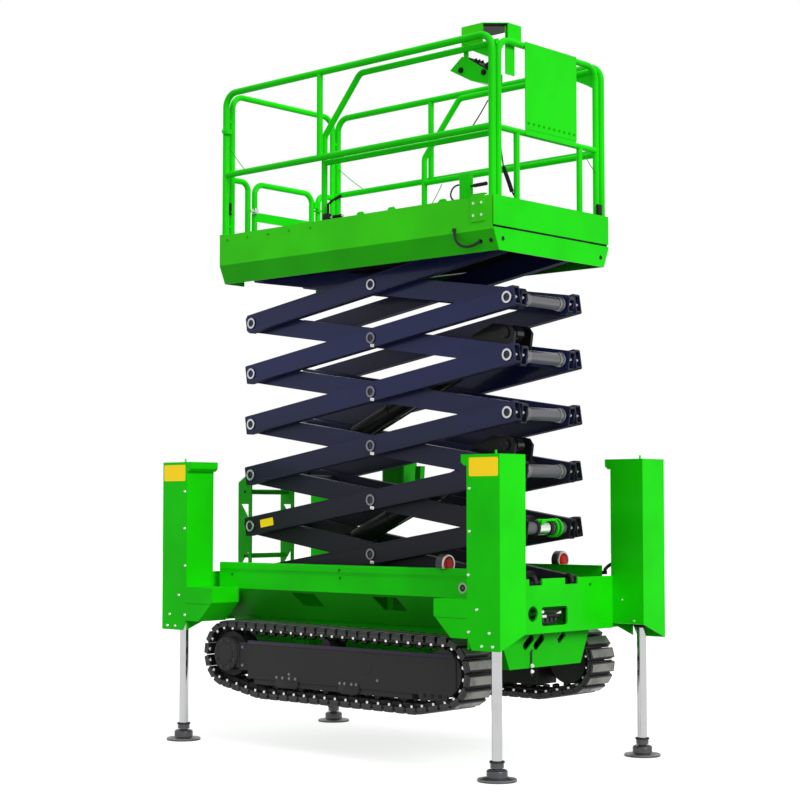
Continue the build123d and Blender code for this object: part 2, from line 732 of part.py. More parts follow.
def inner_arms(stage):
    """Two inner beams with cross tubes, bored for the outer arms' axles and centre pins."""
    reach = ARM_LENGTH / 2
    width = (-INNER_BEAM_Y[0], INNER_BEAM_Y[0])
    beams = both_sides(beam(INNER_BEAM_Y, stage))
    rear_tube = reach - BASE_REACH if stage in BASE_STAGES else CROSS_TUBE_INSET - reach
    pieces = [beams[0], rod_y(rear_tube, 0, CROSS_TUBE_DIAMETER, width), beams[1]]
    if stage in EYE_STAGES:
        pieces += lift_ears()
    elif stage - 1 in EYE_STAGES:
        pieces.append(rod_y(reach - SMALL_TUBE_INSET, 0, SMALL_TUBE_DIAMETER, width))
    else:
        pieces.append(rod_y(reach - CROSS_TUBE_INSET, 0, CROSS_TUBE_DIAMETER, width))
    whole = joined(pieces)
    bore_y = (INNER_BEAM_Y[0], INNER_BEAM_Y[1])
    bores = [-reach, 0, reach]
    if stage == 1:
        bores.remove(reach)
    if stage == STAGES:
        bores.remove(-reach)
    for x in bores:
        for side in both_sides(rod_y(x, 0, AXLE_DIAMETER + 2 * RUNNING_GAP, bore_y)):
            whole = whole - side
    if stage == 1:
        axle = rod_y(reach, 0, AXLE_DIAMETER, (-OUTER_BEAM_Y[1], OUTER_BEAM_Y[1]))
        whole = whole + axle
    if stage == STAGES:
        axle = rod_y(-reach, 0, AXLE_DIAMETER, (-OUTER_BEAM_Y[1], OUTER_BEAM_Y[1]))
        whole = whole + axle
        for roller in both_sides(rod_y(-reach, 0, ROLLER_DIAMETER, OUTER_BEAM_Y)):
            whole = whole + roller
    place = Pos(CENTRE_X, 0, level(stage - 0.5)) * Rot(0, ARM_ANGLE, 0)
    return place * whole


for stage in range(1, STAGES + 1):
    save(f"outer_arms_{stage}", outer_arms(stage))
    save(f"inner_arms_{stage}", inner_arms(stage))


# ---------------------------------------------------------------------------
# Lift cylinders
# ---------------------------------------------------------------------------
def arm_point(stage, along, rise):
    """A point of an inner arm: a reach from its front pivot, and a rise above its centre line."""
    angle = math.radians(ARM_ANGLE)
    x = PIVOT_FRONT_X - along * math.cos(angle) + rise * math.sin(angle)
    z = level(stage - 1) + along * math.sin(angle) + rise * math.cos(angle)
    return x, z


def cylinder_place(stage):
    """Where the base pin of a lift cylinder is, its slope in degrees and its length."""
    bx, bz = arm_point(stage, BASE_REACH, 0)
    ex, ez = arm_point(stage + 2, EYE_REACH, EYE_RISE)
    slope = math.degrees(math.atan2(ez - bz, ex - bx))
    return Pos(bx, 0, bz) * Rot(0, -slope, 0), math.hypot(ex - bx, ez - bz)


def barrel():
    """The cylinder's barrel with its base lug split round the cross tube."""
    lug_y = (-LUG_WIDTH / 2, LUG_WIDTH / 2)
    start = CROSS_TUBE_DIAMETER / 2 + 16
    tube = rod_x(0, 0, BARREL_DIAMETER, (start, BARREL_LENGTH))
    lug = rod_y(0, 0, CROSS_TUBE_DIAMETER + 36, lug_y)
    neck = block((0, start + 10), lug_y, (-BARREL_DIAMETER / 3, BARREL_DIAMETER / 3))
    gland = rod_x(0, 0, BARREL_DIAMETER + 14, (BARREL_LENGTH - 46, BARREL_LENGTH))
    bore = rod_x(0, 0, ROD_DIAMETER + 2 * RUNNING_GAP, (start, BARREL_LENGTH))
    hole = rod_y(0, 0, CROSS_TUBE_DIAMETER + 2 * RUNNING_GAP, lug_y)
    return joined([tube, lug, neck, gland]) - bore - hole


def rod(length):
    """The chrome rod with its eye and the pin through it."""
    eye_y = (-LUG_WIDTH / 2, LUG_WIDTH / 2)
    stem = rod_x(0, 0, ROD_DIAMETER, (length - ROD_LENGTH, length - 20))
    eye = rod_y(length, 0, LUG_DIAMETER, eye_y)
    pin = rod_y(length, 0, LIFT_PIN_DIAMETER, (SEAT_GAP - EAR_GAP / 2, EAR_GAP / 2 - SEAT_GAP))
    return joined([stem, eye, pin])


for name, stage in zip(("lower", "upper"), BASE_STAGES):
    place, length = cylinder_place(stage)
    save(f"{name}_lift_barrel", place * barrel())
    save(f"{name}_lift_rod", place * rod(length))


# ---------------------------------------------------------------------------
# Platform
# ---------------------------------------------------------------------------
TOP_PIVOT_Z = level(STAGES)
FLOOR_BOTTOM = TOP_PIVOT_Z + FLOOR_RISE
FLOOR_TOP = FLOOR_BOTTOM + FLOOR_PLATE
RAIL_Y = DECK_HALF_WIDTH - DECK_SHEET - RAIL_DIAMETER / 2 - SEAT_GAP
RAIL_Z = RAIL_TOP - RAIL_DIAMETER / 2
RAIL_FRONT_X = DECK_X[1] - RAIL_DIAMETER / 2
RAIL_REAR_X = DECK_X[0] + DECK_SHEET + RAIL_DIAMETER / 2 + SEAT_GAP
INNER_RAIL_Y = RAIL_Y - RAIL_DIAMETER / 2 - RAIL_PAIR_GAP - INNER_RAIL_DIAMETER / 2
FRONT_GAP = 10
SUBFRAME_Y = (OUTER_BEAM_Y[1] + BOSS_HEIGHT + 11, 372)
SUBFRAME_BOTTOM = TOP_PIVOT_Z - ROLLER_DIAMETER / 2 - SEAT_GAP - 8


def deck_side():
    """The left fascia with its slanted skirt."""
    s = DECK_SHEET
    outline = [
        (DECK_HALF_WIDTH, TOE_TOP),
        (DECK_HALF_WIDTH, DECK_FOLD),
        (DECK_SKIRT_HALF_WIDTH, DECK_SKIRT_BOTTOM),
        (DECK_SKIRT_HALF_WIDTH - s, DECK_SKIRT_BOTTOM),
        (DECK_HALF_WIDTH - s, DECK_FOLD),
        (DECK_HALF_WIDTH - s, TOE_TOP),
    ]
    return plate_x(outline, (DECK_X[0], DECK_X[1] - FRONT_GAP))


def deck_end_outline(top):
    """The outline of an end plate, as wide as the sides and their skirts."""
    return [
        (-DECK_HALF_WIDTH, top),
        (-DECK_HALF_WIDTH, DECK_FOLD),
        (-DECK_SKIRT_HALF_WIDTH, DECK_SKIRT_BOTTOM),
        (DECK_SKIRT_HALF_WIDTH, DECK_SKIRT_BOTTOM),
        (DECK_HALF_WIDTH, DECK_FOLD),
        (DECK_HALF_WIDTH, top),
    ]


def main_deck():
    """The deck tray: floor, side and rear fascias and the low front band."""
    front = DECK_X[1]
    inner = DECK_HALF_WIDTH - DECK_SHEET
    floor = block((DECK_X[0], front - FRONT_GAP), (-inner, inner), (FLOOR_BOTTOM, FLOOR_TOP))
    rear_x = (DECK_X[0], DECK_X[0] + DECK_SHEET)
    rear = plate_x(deck_end_outline(TOE_TOP), rear_x)
    rear = rear - block(rear_x, (-SUBFRAME_Y[0], SUBFRAME_Y[0]), (DECK_SKIRT_BOTTOM, FLOOR_BOTTOM))
    band_top = EXTENSION_TOE_BOTTOM - 12
    band = plate_x(deck_end_outline(band_top), (front - FRONT_GAP, front))
    pad_z = (FLOOR_TOP, FLOOR_TOP + EXTENSION_PAD - SEAT_GAP)
    pads = block((PAD_REAR_X, front - 3 * FRONT_GAP), PAD_Y, pad_z)
    tread = block(TREAD_X, (-TREAD_HALF_WIDTH, TREAD_HALF_WIDTH), (FLOOR_TOP, FLOOR_TOP + TREAD_PLATE))
    return joined([floor, *both_sides(deck_side()), rear, band, *both_sides(pads), tread])


def deck_subframe():
    """Black beams under the deck: roller rails at the rear and ears at the front pivots."""
    top = FLOOR_BOTTOM
    bottom = SUBFRAME_BOTTOM
    y0, y1 = SUBFRAME_Y
    beam_x = (DECK_X[0] + DECK_SHEET, DECK_X[1] - FRONT_GAP)
    side = block(beam_x, SUBFRAME_Y, (bottom, top))
    rail_x = (DECK_X[0] + DECK_SHEET, ROLLER_RAIL_FRONT_X)
    rail = block(rail_x, (OUTER_BEAM_Y[0], y0), (TOP_PIVOT_Z + ROLLER_DIAMETER / 2 + SEAT_GAP, top))
    ear_z = TOP_PIVOT_Z - EAR_RADIUS
    ear = block((PIVOT_FRONT_X - EAR_RADIUS, beam_x[1]), INNER_BEAM_Y, (ear_z, top))
    ear = ear - rod_y(PIVOT_FRONT_X, TOP_PIVOT_Z, AXLE_DIAMETER + 2 * RUNNING_GAP, INNER_BEAM_Y)
    end_plate_x = (PIVOT_FRONT_X + TOP_BEAM_REACH + MOVING_GAP, beam_x[1])
    pieces = [block(end_plate_x, (-y1, y1), (bottom, top))]
    pieces += both_sides(side)
    pieces += both_sides(rail)
    pieces += both_sides(ear)
    return joined(pieces)


save("main_deck", main_deck())
save("deck_subframe", deck_subframe())


# ---------------------------------------------------------------------------
# Guard rails
# ---------------------------------------------------------------------------
def side_rail():
    """The left main rail: a bent top tube with its posts, a middle tube and a short post."""
    y = RAIL_Y
    foot = FLOOR_TOP
    d = RAIL_DIAMETER
    hoop = bent_tube(
        [
            (RAIL_FRONT_X - FRONT_GAP, y, foot),
            (RAIL_FRONT_X - FRONT_GAP, y, RAIL_Z),
            (RAIL_REAR_X, y, RAIL_Z),
            (RAIL_REAR_X, y, foot),
        ],
        d,
        RAIL_BEND,
    )
    thin = d - CROSSBAR_STEP
    middle = rod_x(y, MID_RAIL_Z, thin, (RAIL_REAR_X, RAIL_FRONT_X - FRONT_GAP))
    post = rod_z(MIDDLE_POST_X, y, thin - CROSSBAR_STEP, (MID_RAIL_Z, RAIL_Z))
    return joined([hoop, middle, post])


def rear_hoop():
    """The rear top rail, bent down to its own two posts beside the corner posts."""
    d = INNER_RAIL_DIAMETER
    x = RAIL_REAR_X
    z = RAIL_Z
    return bent_tube(
        [
            (x, -INNER_RAIL_Y, FLOOR_TOP),
            (x, -INNER_RAIL_Y, z),
            (x, INNER_RAIL_Y, z),
            (x, INNER_RAIL_Y, FLOOR_TOP),
        ],
        d,
        RAIL_BEND,
    )


GATE_POST_Y = GATE_HALF_WIDTH - INNER_RAIL_DIAMETER / 2
ARCH_POST_Y = GATE_HALF_WIDTH + GATE_POST_GAP + INNER_RAIL_DIAMETER / 2
GATE_PIN_X = RAIL_REAR_X + 32
GATE_PIN_Y = (GATE_POST_Y + ARCH_POST_Y) / 2
HINGE_Z = (3300, 3520)


def low_arch():
    """The left low arch beside the gate."""
    x = RAIL_REAR_X
    z = LOW_ARCH_TOP - INNER_RAIL_DIAMETER / 2
    return bent_tube(
        [(x, INNER_RAIL_Y, z), (x, ARCH_POST_Y, z), (x, ARCH_POST_Y, FLOOR_TOP)],
        INNER_RAIL_DIAMETER,
        55,
    )


def main_rails():
    """Both side rails, the rear hoop, the low arches and the gate's hinge pins."""
    side = side_rail()
    hoop = rear_hoop()
    pieces = [side, hoop, mirror(side, about=Plane.XZ), *both_sides(low_arch())]
    gap = RAIL_Y
    x = RAIL_REAR_X
    for z in (MID_RAIL_Z, RAIL_Z - 2 * RAIL_BEND, TOE_TOP + 60):
        clip = rod_y(x, z, 24, (INNER_RAIL_Y, gap))
        pieces += both_sides(clip)
    for z in HINGE_Z:
        lug = block((x, GATE_PIN_X + 8), (GATE_PIN_Y - 8, ARCH_POST_Y), (z - 42, z - 30))
        pin = rod_z(GATE_PIN_X, GATE_PIN_Y, GATE_HINGE_DIAMETER, (z - 30, z + 30))
        pieces += [lug, pin]
    return joined(pieces)


def rear_gate():
    """The inward-swinging gate: a bent tube, a flat bar and two hinge knuckles."""
    d = INNER_RAIL_DIAMETER
    x = RAIL_REAR_X
    z = LOW_ARCH_TOP - d / 2
    foot = TOE_TOP + 14
    frame = bent_tube(
        [(x, -GATE_POST_Y, foot), (x, -GATE_POST_Y, z), (x, GATE_POST_Y, z), (x, GATE_POST_Y, foot)],
        d,
        70,
    )
    bar = block((x - 5, x + 5), (-GATE_POST_Y, GATE_POST_Y), GATE_BAR_Z)
    pieces = [frame, bar]
    for z in HINGE_Z:
        knuckle = rod_z(GATE_PIN_X, GATE_PIN_Y, 26, (z - 25, z + 25))
        arm = block((x, GATE_PIN_X), (GATE_POST_Y, GATE_PIN_Y), (z - 20, z + 20))
        bore = rod_z(GATE_PIN_X, GATE_PIN_Y, GATE_HINGE_DIAMETER + 2 * RUNNING_GAP, (z - 30, z + 30))
        pieces.append(joined([knuckle, arm]) - bore)
    return joined(pieces)


save("main_rails", main_rails())
save("rear_gate", rear_gate())


# ---------------------------------------------------------------------------
# Extension deck
# ---------------------------------------------------------------------------
EXTENSION_FLOOR = FLOOR_TOP + EXTENSION_PAD


def extension_deck():
    """The sliding floor with its front toe plate."""
    half = INNER_RAIL_Y + INNER_RAIL_DIAMETER / 2
    front = DECK_X[1]
    floor = block((EXTENSION_REAR_X, front), (-half, half), (EXTENSION_FLOOR, EXTENSION_FLOOR + FLOOR_PLATE))
    toe = block(
        (front - DECK_SHEET, front),
        (-DECK_HALF_WIDTH, DECK_HALF_WIDTH),
        (EXTENSION_TOE_BOTTOM, TOE_TOP),
    )
    return joined([floor, toe])


def extension_side():
    """The left side rail of the extension, slanted down to its rear post."""
    y = INNER_RAIL_Y
    d = INNER_RAIL_DIAMETER
    foot = EXTENSION_FLOOR + FLOOR_PLATE
    z = EXTENSION_RAIL_TOP - d / 2 - EXTENSION_RAIL_DROP
    front = RAIL_FRONT_X - FRONT_GAP
    hoop = bent_tube(
        [
            (front, y, z),
            (EXTENSION_TOP_END_X, y, z),
            (EXTENSION_POST_X, y, EXTENSION_SLANT_END_Z),
            (EXTENSION_POST_X, y, foot),
        ],
        d,
        60,
    )
    middle = rod_x(y, EXTENSION_MID_Z, d - CROSSBAR_STEP, (EXTENSION_POST_X, front))
    gusset_y = (y - GUSSET_PLATE / 2, y + GUSSET_PLATE / 2)
    tip_x, tip_z = GUSSET_X[1], GUSSET_TIP_Z
    gusset = plate_y([(GUSSET_X[0], z), (front, z), (front, tip_z - d), (tip_x, tip_z)], gusset_y)
    return joined([hoop, middle, gusset])


def extension_rails():
    """The front hoop with its lower posts, joined to both side rails."""
    x = RAIL_FRONT_X - FRONT_GAP
    d = INNER_RAIL_DIAMETER
    foot = EXTENSION_FLOOR + FLOOR_PLATE
    z = EXTENSION_RAIL_TOP - d / 2
    y = INNER_RAIL_Y
    hoop = bent_tube([(x, -y, foot), (x, -y, z), (x, y, z), (x, y, foot)], d, RAIL_BEND)
    thin = d - CROSSBAR_STEP
    middle = rod_y(x, MID_RAIL_Z, thin, (-y, y))
    side = extension_side()
    pieces = [hoop, middle, side, mirror(side, about=Plane.XZ)]
    pieces += both_sides(rod_z(x, LOW_POST_Y, thin, (foot, MID_RAIL_Z - CROSSBAR_STEP)))
    return joined(pieces)


def front_panel():
    """A blank sheet between the top and middle front rails."""
    x = RAIL_FRONT_X - FRONT_GAP + INNER_RAIL_DIAMETER / 2
    return block(
        (x, x + PANEL_SHEET),
        (-PANEL_HALF_WIDTH, PANEL_HALF_WIDTH),
        (PANEL_BOTTOM, EXTENSION_RAIL_TOP),
    )


save("extension_deck", extension_deck())
save("extension_rails", extension_rails())
save("front_panel", front_panel())


# ---------------------------------------------------------------------------
# Ladder, control boxes and lamps
# ---------------------------------------------------------------------------
LADDER_X = (-1316, -1190)
LADDER_Y = 188
LADDER_PLATE = 8
LADDER_Z = (960, 1687)
LADDER_TOP_SLANT = (80, 49)
LADDER_CUT_X = (-1292, -1218)
LADDER_CUTS = [  # (z of the flat edge, z of the point) of the triangular holes
    (1495, 1400),
    (1096, 1190),
]
RUNG_DIAMETER = 26
RUNG_Z = (1156, 1366, 1576)
LAMP_PLACE = (815, 532)
LAMP_DIAMETER = 112
LAMP_DEPTH = 45
LAMP_RISE = 25  # centre above the cover
STAND_Z = (1450, 1460)
STAND_X = (-760, -372)
STAND_POST_WIDTH = 44
CABINET_X = (-720, -526)
CABINET_Y = (560, 690)
CABINET_TOP = 1775
LEAN_POST_X = (-439, -395)
LEAN_POST_SHIFT = 20
LEAN_POST_TOP = 1745
HOOD_X = (871, 1136)
HOOD_Y = (-470, -250)
HOOD_TOP = 4236
HOOD_SHEET = 5
HOOD_CORNER_CUT = (106, 100)
HOOD_BRACKET_Y = (-369, -288)
HOOD_BRACKET_BOTTOM = 3943
CONTROL_Y = (-440, -310)
CONTROL_OUTLINE = [  # (x, z) of the tilted box
    (756, 4007),
    (848, 4074),
    (879, 4066),
    (1044, 3959),
    (1043, 3884),
    (916, 3922),
]
STRAP_X = (862, 896)


def ladder():
    """Two wide plate uprights with triangular holes and rungs, lugged to the rear crossmember."""
    y = (LADDER_Y, LADDER_Y + LADDER_PLATE)
    x0, x1 = LADDER_X
    z0, z1 = LADDER_Z
    slant_x, slant_z = LADDER_TOP_SLANT
    upright = plate_y([(x0, z0), (x1, z0), (x1, z1), (x0 + slant_x, z1), (x0, z1 - slant_z)], y)
    cut_left, cut_right = LADDER_CUT_X
    for flat_z, point_z in LADDER_CUTS:
        upright = upright - plate_y([(cut_left, flat_z), (cut_right, flat_z), (cut_right, point_z)], y)
    upright = upright + block((x1, -CROSS_FACE_X), y, (z0, CROSS_TOP))
    pieces = [upright]
    for z in RUNG_Z:
        pieces.append(rod_y((x0 + x1) / 2, z, RUNG_DIAMETER, (-LADDER_Y, LADDER_Y)))
    pieces.append(mirror(upright, about=Plane.XZ))
    return joined(pieces)


def ground_control_box():
    """A cabinet and a leaning post on a shelf, held by a post against the left side cover."""
    post_x = (STAND_X[0], STAND_X[0] + STAND_POST_WIDTH)
    post_y = (CHASSIS_HALF_WIDTH, CABINET_Y[0] + STAND_POST_WIDTH)
    post = block(post_x, post_y, (COVER_BOTTOM, STAND_Z[0]))
    shelf = block(STAND_X, (CHASSIS_HALF_WIDTH, CABINET_Y[1]), STAND_Z)
    cabinet = block(CABINET_X, CABINET_Y, (STAND_Z[1], CABINET_TOP))
    lean_x0, lean_x1 = LEAN_POST_X
    shift = LEAN_POST_SHIFT
    outline = [
        (lean_x0, STAND_Z[1]),
        (lean_x1, STAND_Z[1]),
        (lean_x1 + shift, LEAN_POST_TOP),
        (lean_x0 + shift, LEAN_POST_TOP),
    ]
    lean = plate_y(outline, (CABINET_Y[0], CABINET_Y[0] + STAND_POST_WIDTH))
    return joined([post, shelf, cabinet, lean])


def lamp():
    """The left front lamp: a round housing that stands on the side cover's flange."""
    x, y = LAMP_PLACE
    housing = rod_x(y, COVER_TOP + LAMP_RISE, LAMP_DIAMETER, (x - LAMP_DEPTH, x))
    below = block((x - LAMP_DEPTH, x), (y - LAMP_DIAMETER, y + LAMP_DIAMETER), (COVER_BOTTOM, COVER_TOP))
    return housing - below


def corner_hood():
    """A sheet hood over the platform control box, standing on the extension's rails."""
    x0, x1 = HOOD_X
    y0, y1 = HOOD_Y
    sheet = HOOD_SHEET
    cut_x, cut_y = HOOD_CORNER_CUT
    outline = [(x0, y0), (x1 - cut_x, y0), (x1, y0 + cut_y), (x1, y1), (x0, y1)]
    top = Pos(0, 0, HOOD_TOP - sheet) * extrude(make_face(Polyline(*outline, close=True)), amount=sheet)
    side_foot = EXTENSION_RAIL_TOP - EXTENSION_RAIL_DROP + SEAT_GAP
    side = block((x0, x1 - cut_x), (y0, y0 + sheet), (side_foot, HOOD_TOP))
    front = block((x1 - sheet, x1), (y0 + cut_y, y1), (EXTENSION_RAIL_TOP + SEAT_GAP, HOOD_TOP))
    behind = RAIL_FRONT_X - FRONT_GAP - INNER_RAIL_DIAMETER / 2 - SEAT_GAP
    bracket = block((behind - sheet, behind), HOOD_BRACKET_Y, (HOOD_BRACKET_BOTTOM, HOOD_TOP))
    return joined([top, side, front, bracket])


def control_box():
    """The tilted platform control box, hung from the hood by a strap."""
    box = plate_y(CONTROL_OUTLINE, CONTROL_Y)
    strap_y = (CONTROL_Y[0], CONTROL_Y[0] + HOOD_SHEET)
    strap_z = (CONTROL_OUTLINE[2][1] - 2 * HOOD_SHEET, HOOD_TOP - HOOD_SHEET - SEAT_GAP)
    strap = block(STRAP_X, strap_y, strap_z)
    return joined([box, strap])


save("ladder", ladder())
save("ground_control_box", ground_control_box())
save("lamps", *both_sides(lamp()))
save("corner_hood", corner_hood())
save("control_box", control_box())
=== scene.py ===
import bpy
import math
from mathutils import Matrix, Vector


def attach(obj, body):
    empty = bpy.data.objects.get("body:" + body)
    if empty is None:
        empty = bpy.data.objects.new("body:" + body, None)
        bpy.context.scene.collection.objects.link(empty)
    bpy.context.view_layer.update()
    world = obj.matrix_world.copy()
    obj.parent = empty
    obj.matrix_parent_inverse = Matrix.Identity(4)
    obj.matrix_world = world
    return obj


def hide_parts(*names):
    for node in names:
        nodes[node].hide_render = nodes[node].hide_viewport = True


# A tracked scissor lift on its four levelling legs. The frame holds the plain solids; this
# script paints them and adds the fittings. Sizes here are millimetres, +X front, +Y left, +Z up.
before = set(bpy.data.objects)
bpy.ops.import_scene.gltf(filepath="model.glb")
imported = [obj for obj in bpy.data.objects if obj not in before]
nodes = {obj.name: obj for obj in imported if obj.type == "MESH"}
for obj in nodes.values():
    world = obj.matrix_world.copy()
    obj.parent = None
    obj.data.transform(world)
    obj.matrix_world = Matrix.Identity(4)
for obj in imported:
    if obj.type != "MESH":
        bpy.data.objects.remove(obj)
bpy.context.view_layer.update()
MM = 0.001

SIDES = ((1, "left"), (-1, "right"))
CORNERS = [
    (end, side, f"{place}_{word}") for end, place in ((1, "front"), (-1, "rear")) for side, word in SIDES
]
UP, DOWN, AHEAD, BACK, LEFT, RIGHT = (0, 0, 1), (0, 0, -1), (1, 0, 0), (-1, 0, 0), (0, 1, 0), (0, -1, 0)


# ---------------------------------------------------------------------------
# Effects that several finishes share
# ---------------------------------------------------------------------------
COLOUR, NUMBER = "NodeSocketColor", "NodeSocketFloat"


def new_effect(name, inputs, outputs):
    """An empty node group with its sockets, and its two end nodes."""
    group = bpy.data.node_groups.new(name, "ShaderNodeTree")
    for label, value in inputs.items():
        kind = COLOUR if isinstance(value, tuple) else NUMBER
        socket = group.interface.new_socket(name=label, in_out="INPUT", socket_type=kind)
        socket.default_value = (*value, 1) if kind == COLOUR else value
    for label in outputs:
        kind = COLOUR if label == "Colour" else NUMBER
        group.interface.new_socket(name=label, in_out="OUTPUT", socket_type=kind)
    return group, group.nodes.new("NodeGroupInput"), group.nodes.new("NodeGroupOutput")


def feed(tree, socket, value):
    """Gives an input a plain value, or wires another node's output to it."""
    if isinstance(value, (int, float, tuple)):
        socket.default_value = value
    else:
        tree.links.new(value, socket)


def add_math(tree, operation, first, second=0.0, clamp=False):
    """One Math node; its operands are sockets or numbers."""
    node = tree.nodes.new("ShaderNodeMath")
    node.operation = operation
    node.use_clamp = clamp
    feed(tree, node.inputs[0], first)
    feed(tree, node.inputs[1], second)
    return node.outputs[0]


def times(tree, first, second, clamp=False):
    """The product of two sockets or numbers."""
    return add_math(tree, "MULTIPLY", first, second, clamp)


def add_blend(tree, share, first, second):
    """One Mix node for colours; share, first and second are sockets or values."""
    node = tree.nodes.new("ShaderNodeMix")
    node.data_type = "RGBA"
    for slot, value in ((0, share), (6, first), (7, second)):
        feed(tree, node.inputs[slot], value)
    return node.outputs[2]


def add_range(tree, value, low, high, to_low=0.0, to_high=1.0):
    """One Map Range node with smooth ends."""
    node = tree.nodes.new("ShaderNodeMapRange")
    node.interpolation_type = "SMOOTHSTEP"
    tree.links.new(value, node.inputs["Value"])
    node.inputs["From Min"].default_value = low
    node.inputs["From Max"].default_value = high
    node.inputs["To Min"].default_value = to_low
    node.inputs["To Max"].default_value = to_high
    return node.outputs["Result"]


def add_within(tree, value, low, high):
    """1 between two limits, 0 outside them."""
    return times(tree, add_math(tree, "GREATER_THAN", value, low), add_math(tree, "LESS_THAN", value, high))


def add_place(tree):
    """Object coordinates."""
    return tree.nodes.new("ShaderNodeTexCoord").outputs["Object"]


def add_normal(tree):
    """The surface's normal."""
    return tree.nodes.new("ShaderNodeNewGeometry").outputs["Normal"]


def add_axes(tree, vector):
    """The X, Y and Z of a vector."""
    split = tree.nodes.new("ShaderNodeSeparateXYZ")
    tree.links.new(vector, split.inputs[0])
    return split.outputs["X"], split.outputs["Y"], split.outputs["Z"]


def add_noise(tree, place, scale, detail, rough=0.5):
    """One Noise node on object coordinates; scale is a socket or a number."""
    node = tree.nodes.new("ShaderNodeTexNoise")
    tree.links.new(place, node.inputs["Vector"])
    feed(tree, node.inputs["Scale"], scale)
    node.inputs["Detail"].default_value = detail
    node.inputs["Roughness"].default_value = rough
    return node.outputs["Fac"]


def add_scaled(tree, operation, vector, factor):
    """One Vector Math node that scales a vector or multiplies it by another."""
    node = tree.nodes.new("ShaderNodeVectorMath")
    node.operation = operation
    tree.links.new(vector, node.inputs[0])
    feed(tree, node.inputs["Scale" if operation == "SCALE" else 1], factor)
    return node.outputs[0]


def add_bends(tree, radius, gain):
    """0 on flat faces, and up to 1 where the surface bends within a radius."""
    rounded = tree.nodes.new("ShaderNodeBevel")
    rounded.samples = 4
    feed(tree, rounded.inputs["Radius"], radius)
    dot = tree.nodes.new("ShaderNodeVectorMath")
    dot.operation = "DOT_PRODUCT"
    tree.links.new(rounded.outputs["Normal"], dot.inputs[0])
    tree.links.new(add_normal(tree), dot.inputs[1])
    bend = add_math(tree, "SUBTRACT", 1.0, dot.outputs["Value"], clamp=True)
    return times(tree, bend, gain, clamp=True)


def close_effect(group, end, *results):
    """Wires the results of an effect to its outputs, in their order."""
    for result, socket in zip(results, end.inputs):
        group.links.new(result, socket)
    return group


def make_coating():
    """Sprayed paint: cloudy tone, orange peel, chipped edges, and dust on what faces up."""
    inputs = {
        "Paint": (0.5, 0.5, 0.5),
        "Primer": (0.3, 0.3, 0.3),
        "Dust": (0.3, 0.28, 0.25),
        "Edge Width": 0.004,
        "Chipping": 0.3,
        "Dust Amount": 0.2,
        "Gloss": 0.35,
    }
    group, start, end = new_effect("sprayed_coating", inputs, ("Colour", "Roughness", "Height"))
    given = start.outputs
    place = add_place(group)
    clouds = add_noise(group, place, 2.3, 3.0)
    peel = add_noise(group, place, 260.0, 1.0)
    grit = add_noise(group, place, 45.0, 4.0, 0.6)
    tone = add_scaled(group, "SCALE", given["Paint"], add_range(group, clouds, 0.3, 0.7, 0.9, 1.06))
    chips = times(group, add_bends(group, given["Edge Width"], 5.0), add_range(group, grit, 0.42, 0.6))
    chips = times(group, chips, given["Chipping"], clamp=True)

    level = add_range(group, add_axes(group, add_normal(group))[2], 0.55, 0.95)
    film = times(group, level, add_range(group, grit, 0.35, 0.7))
    streak = add_range(group, add_noise(group, place, 11.0, 5.0, 0.65), 0.55, 0.8, 0.0, 0.35)
    film = add_math(group, "MAXIMUM", film, streak)
    film = times(group, film, given["Dust Amount"], clamp=True)

    colour = add_blend(group, chips, tone, given["Primer"])
    colour = add_blend(group, film, colour, given["Dust"])
    rough = add_math(group, "ADD", given["Gloss"], add_range(group, clouds, 0.2, 0.8, -0.05, 0.05))
    rough = add_math(group, "ADD", rough, times(group, film, 0.4), clamp=True)
    height = add_math(group, "SUBTRACT", times(group, peel, 0.35), chips)
    return close_effect(group, end, colour, rough, height)


def make_metal():
    """Turned or cast metal: fine lines along one axis, stains and rubbed edges."""
    inputs = {
        "Metal": (0.5, 0.5, 0.5),
        "Stain": (0.1, 0.08, 0.07),
        "Rubbed": (0.6, 0.6, 0.6),
        "Stain Amount": 0.2,
        "Edge Rub": 0.3,
        "Gloss": 0.2,
        "Line Scale": 60.0,
    }
    group, start, end = new_effect("rubbed_metal", inputs, ("Colour", "Roughness", "Height"))
    given = start.outputs
    place = add_place(group)
    stretched = add_scaled(group, "MULTIPLY", place, (1.0, 1.0, 9.0))
    lines = add_noise(group, stretched, given["Line Scale"], 2.0)
    blotch = add_noise(group, place, 9.0, 4.0, 0.6)
    rub = times(group, add_bends(group, 0.003, 6.0), given["Edge Rub"])
    stain = times(group, add_range(group, blotch, 0.45, 0.75), given["Stain Amount"])
    colour = add_blend(group, stain, given["Metal"], given["Stain"])
    colour = add_blend(group, rub, colour, given["Rubbed"])
    rough = add_math(group, "ADD", given["Gloss"], times(group, stain, 0.5))
    rough = add_math(group, "ADD", rough, add_range(group, lines, 0.3, 0.7, -0.03, 0.03), clamp=True)
    return close_effect(group, end, colour, rough, lines)


def make_tread():
    """Raised lozenges of tread plate, on level faces at the height of the deck floor."""
    inputs = {"Pitch": 0.042, "Low": 3.07, "High": 3.09}
    group, start, end = new_effect("tread_pattern", inputs, ("Height",))
    x, y, z = add_axes(group, add_place(group))
    turn = add_math(group, "DIVIDE", math.pi, start.outputs["Pitch"])
    across = add_math(group, "COSINE", times(group, add_math(group, "ADD", x, y), turn))
    along = add_math(group, "COSINE", times(group, add_math(group, "SUBTRACT", x, y), turn))
    bumps = add_range(group, add_math(group, "ABSOLUTE", times(group, across, along)), 0.35, 0.75)
    level = add_math(group, "GREATER_THAN", add_axes(group, add_normal(group))[2], 0.9)
    mask = times(group, add_within(group, z, start.outputs["Low"], start.outputs["High"]), level)
    return close_effect(group, end, times(group, bumps, mask))


COATING = make_coating()
METAL = make_metal()
TREAD = make_tread()


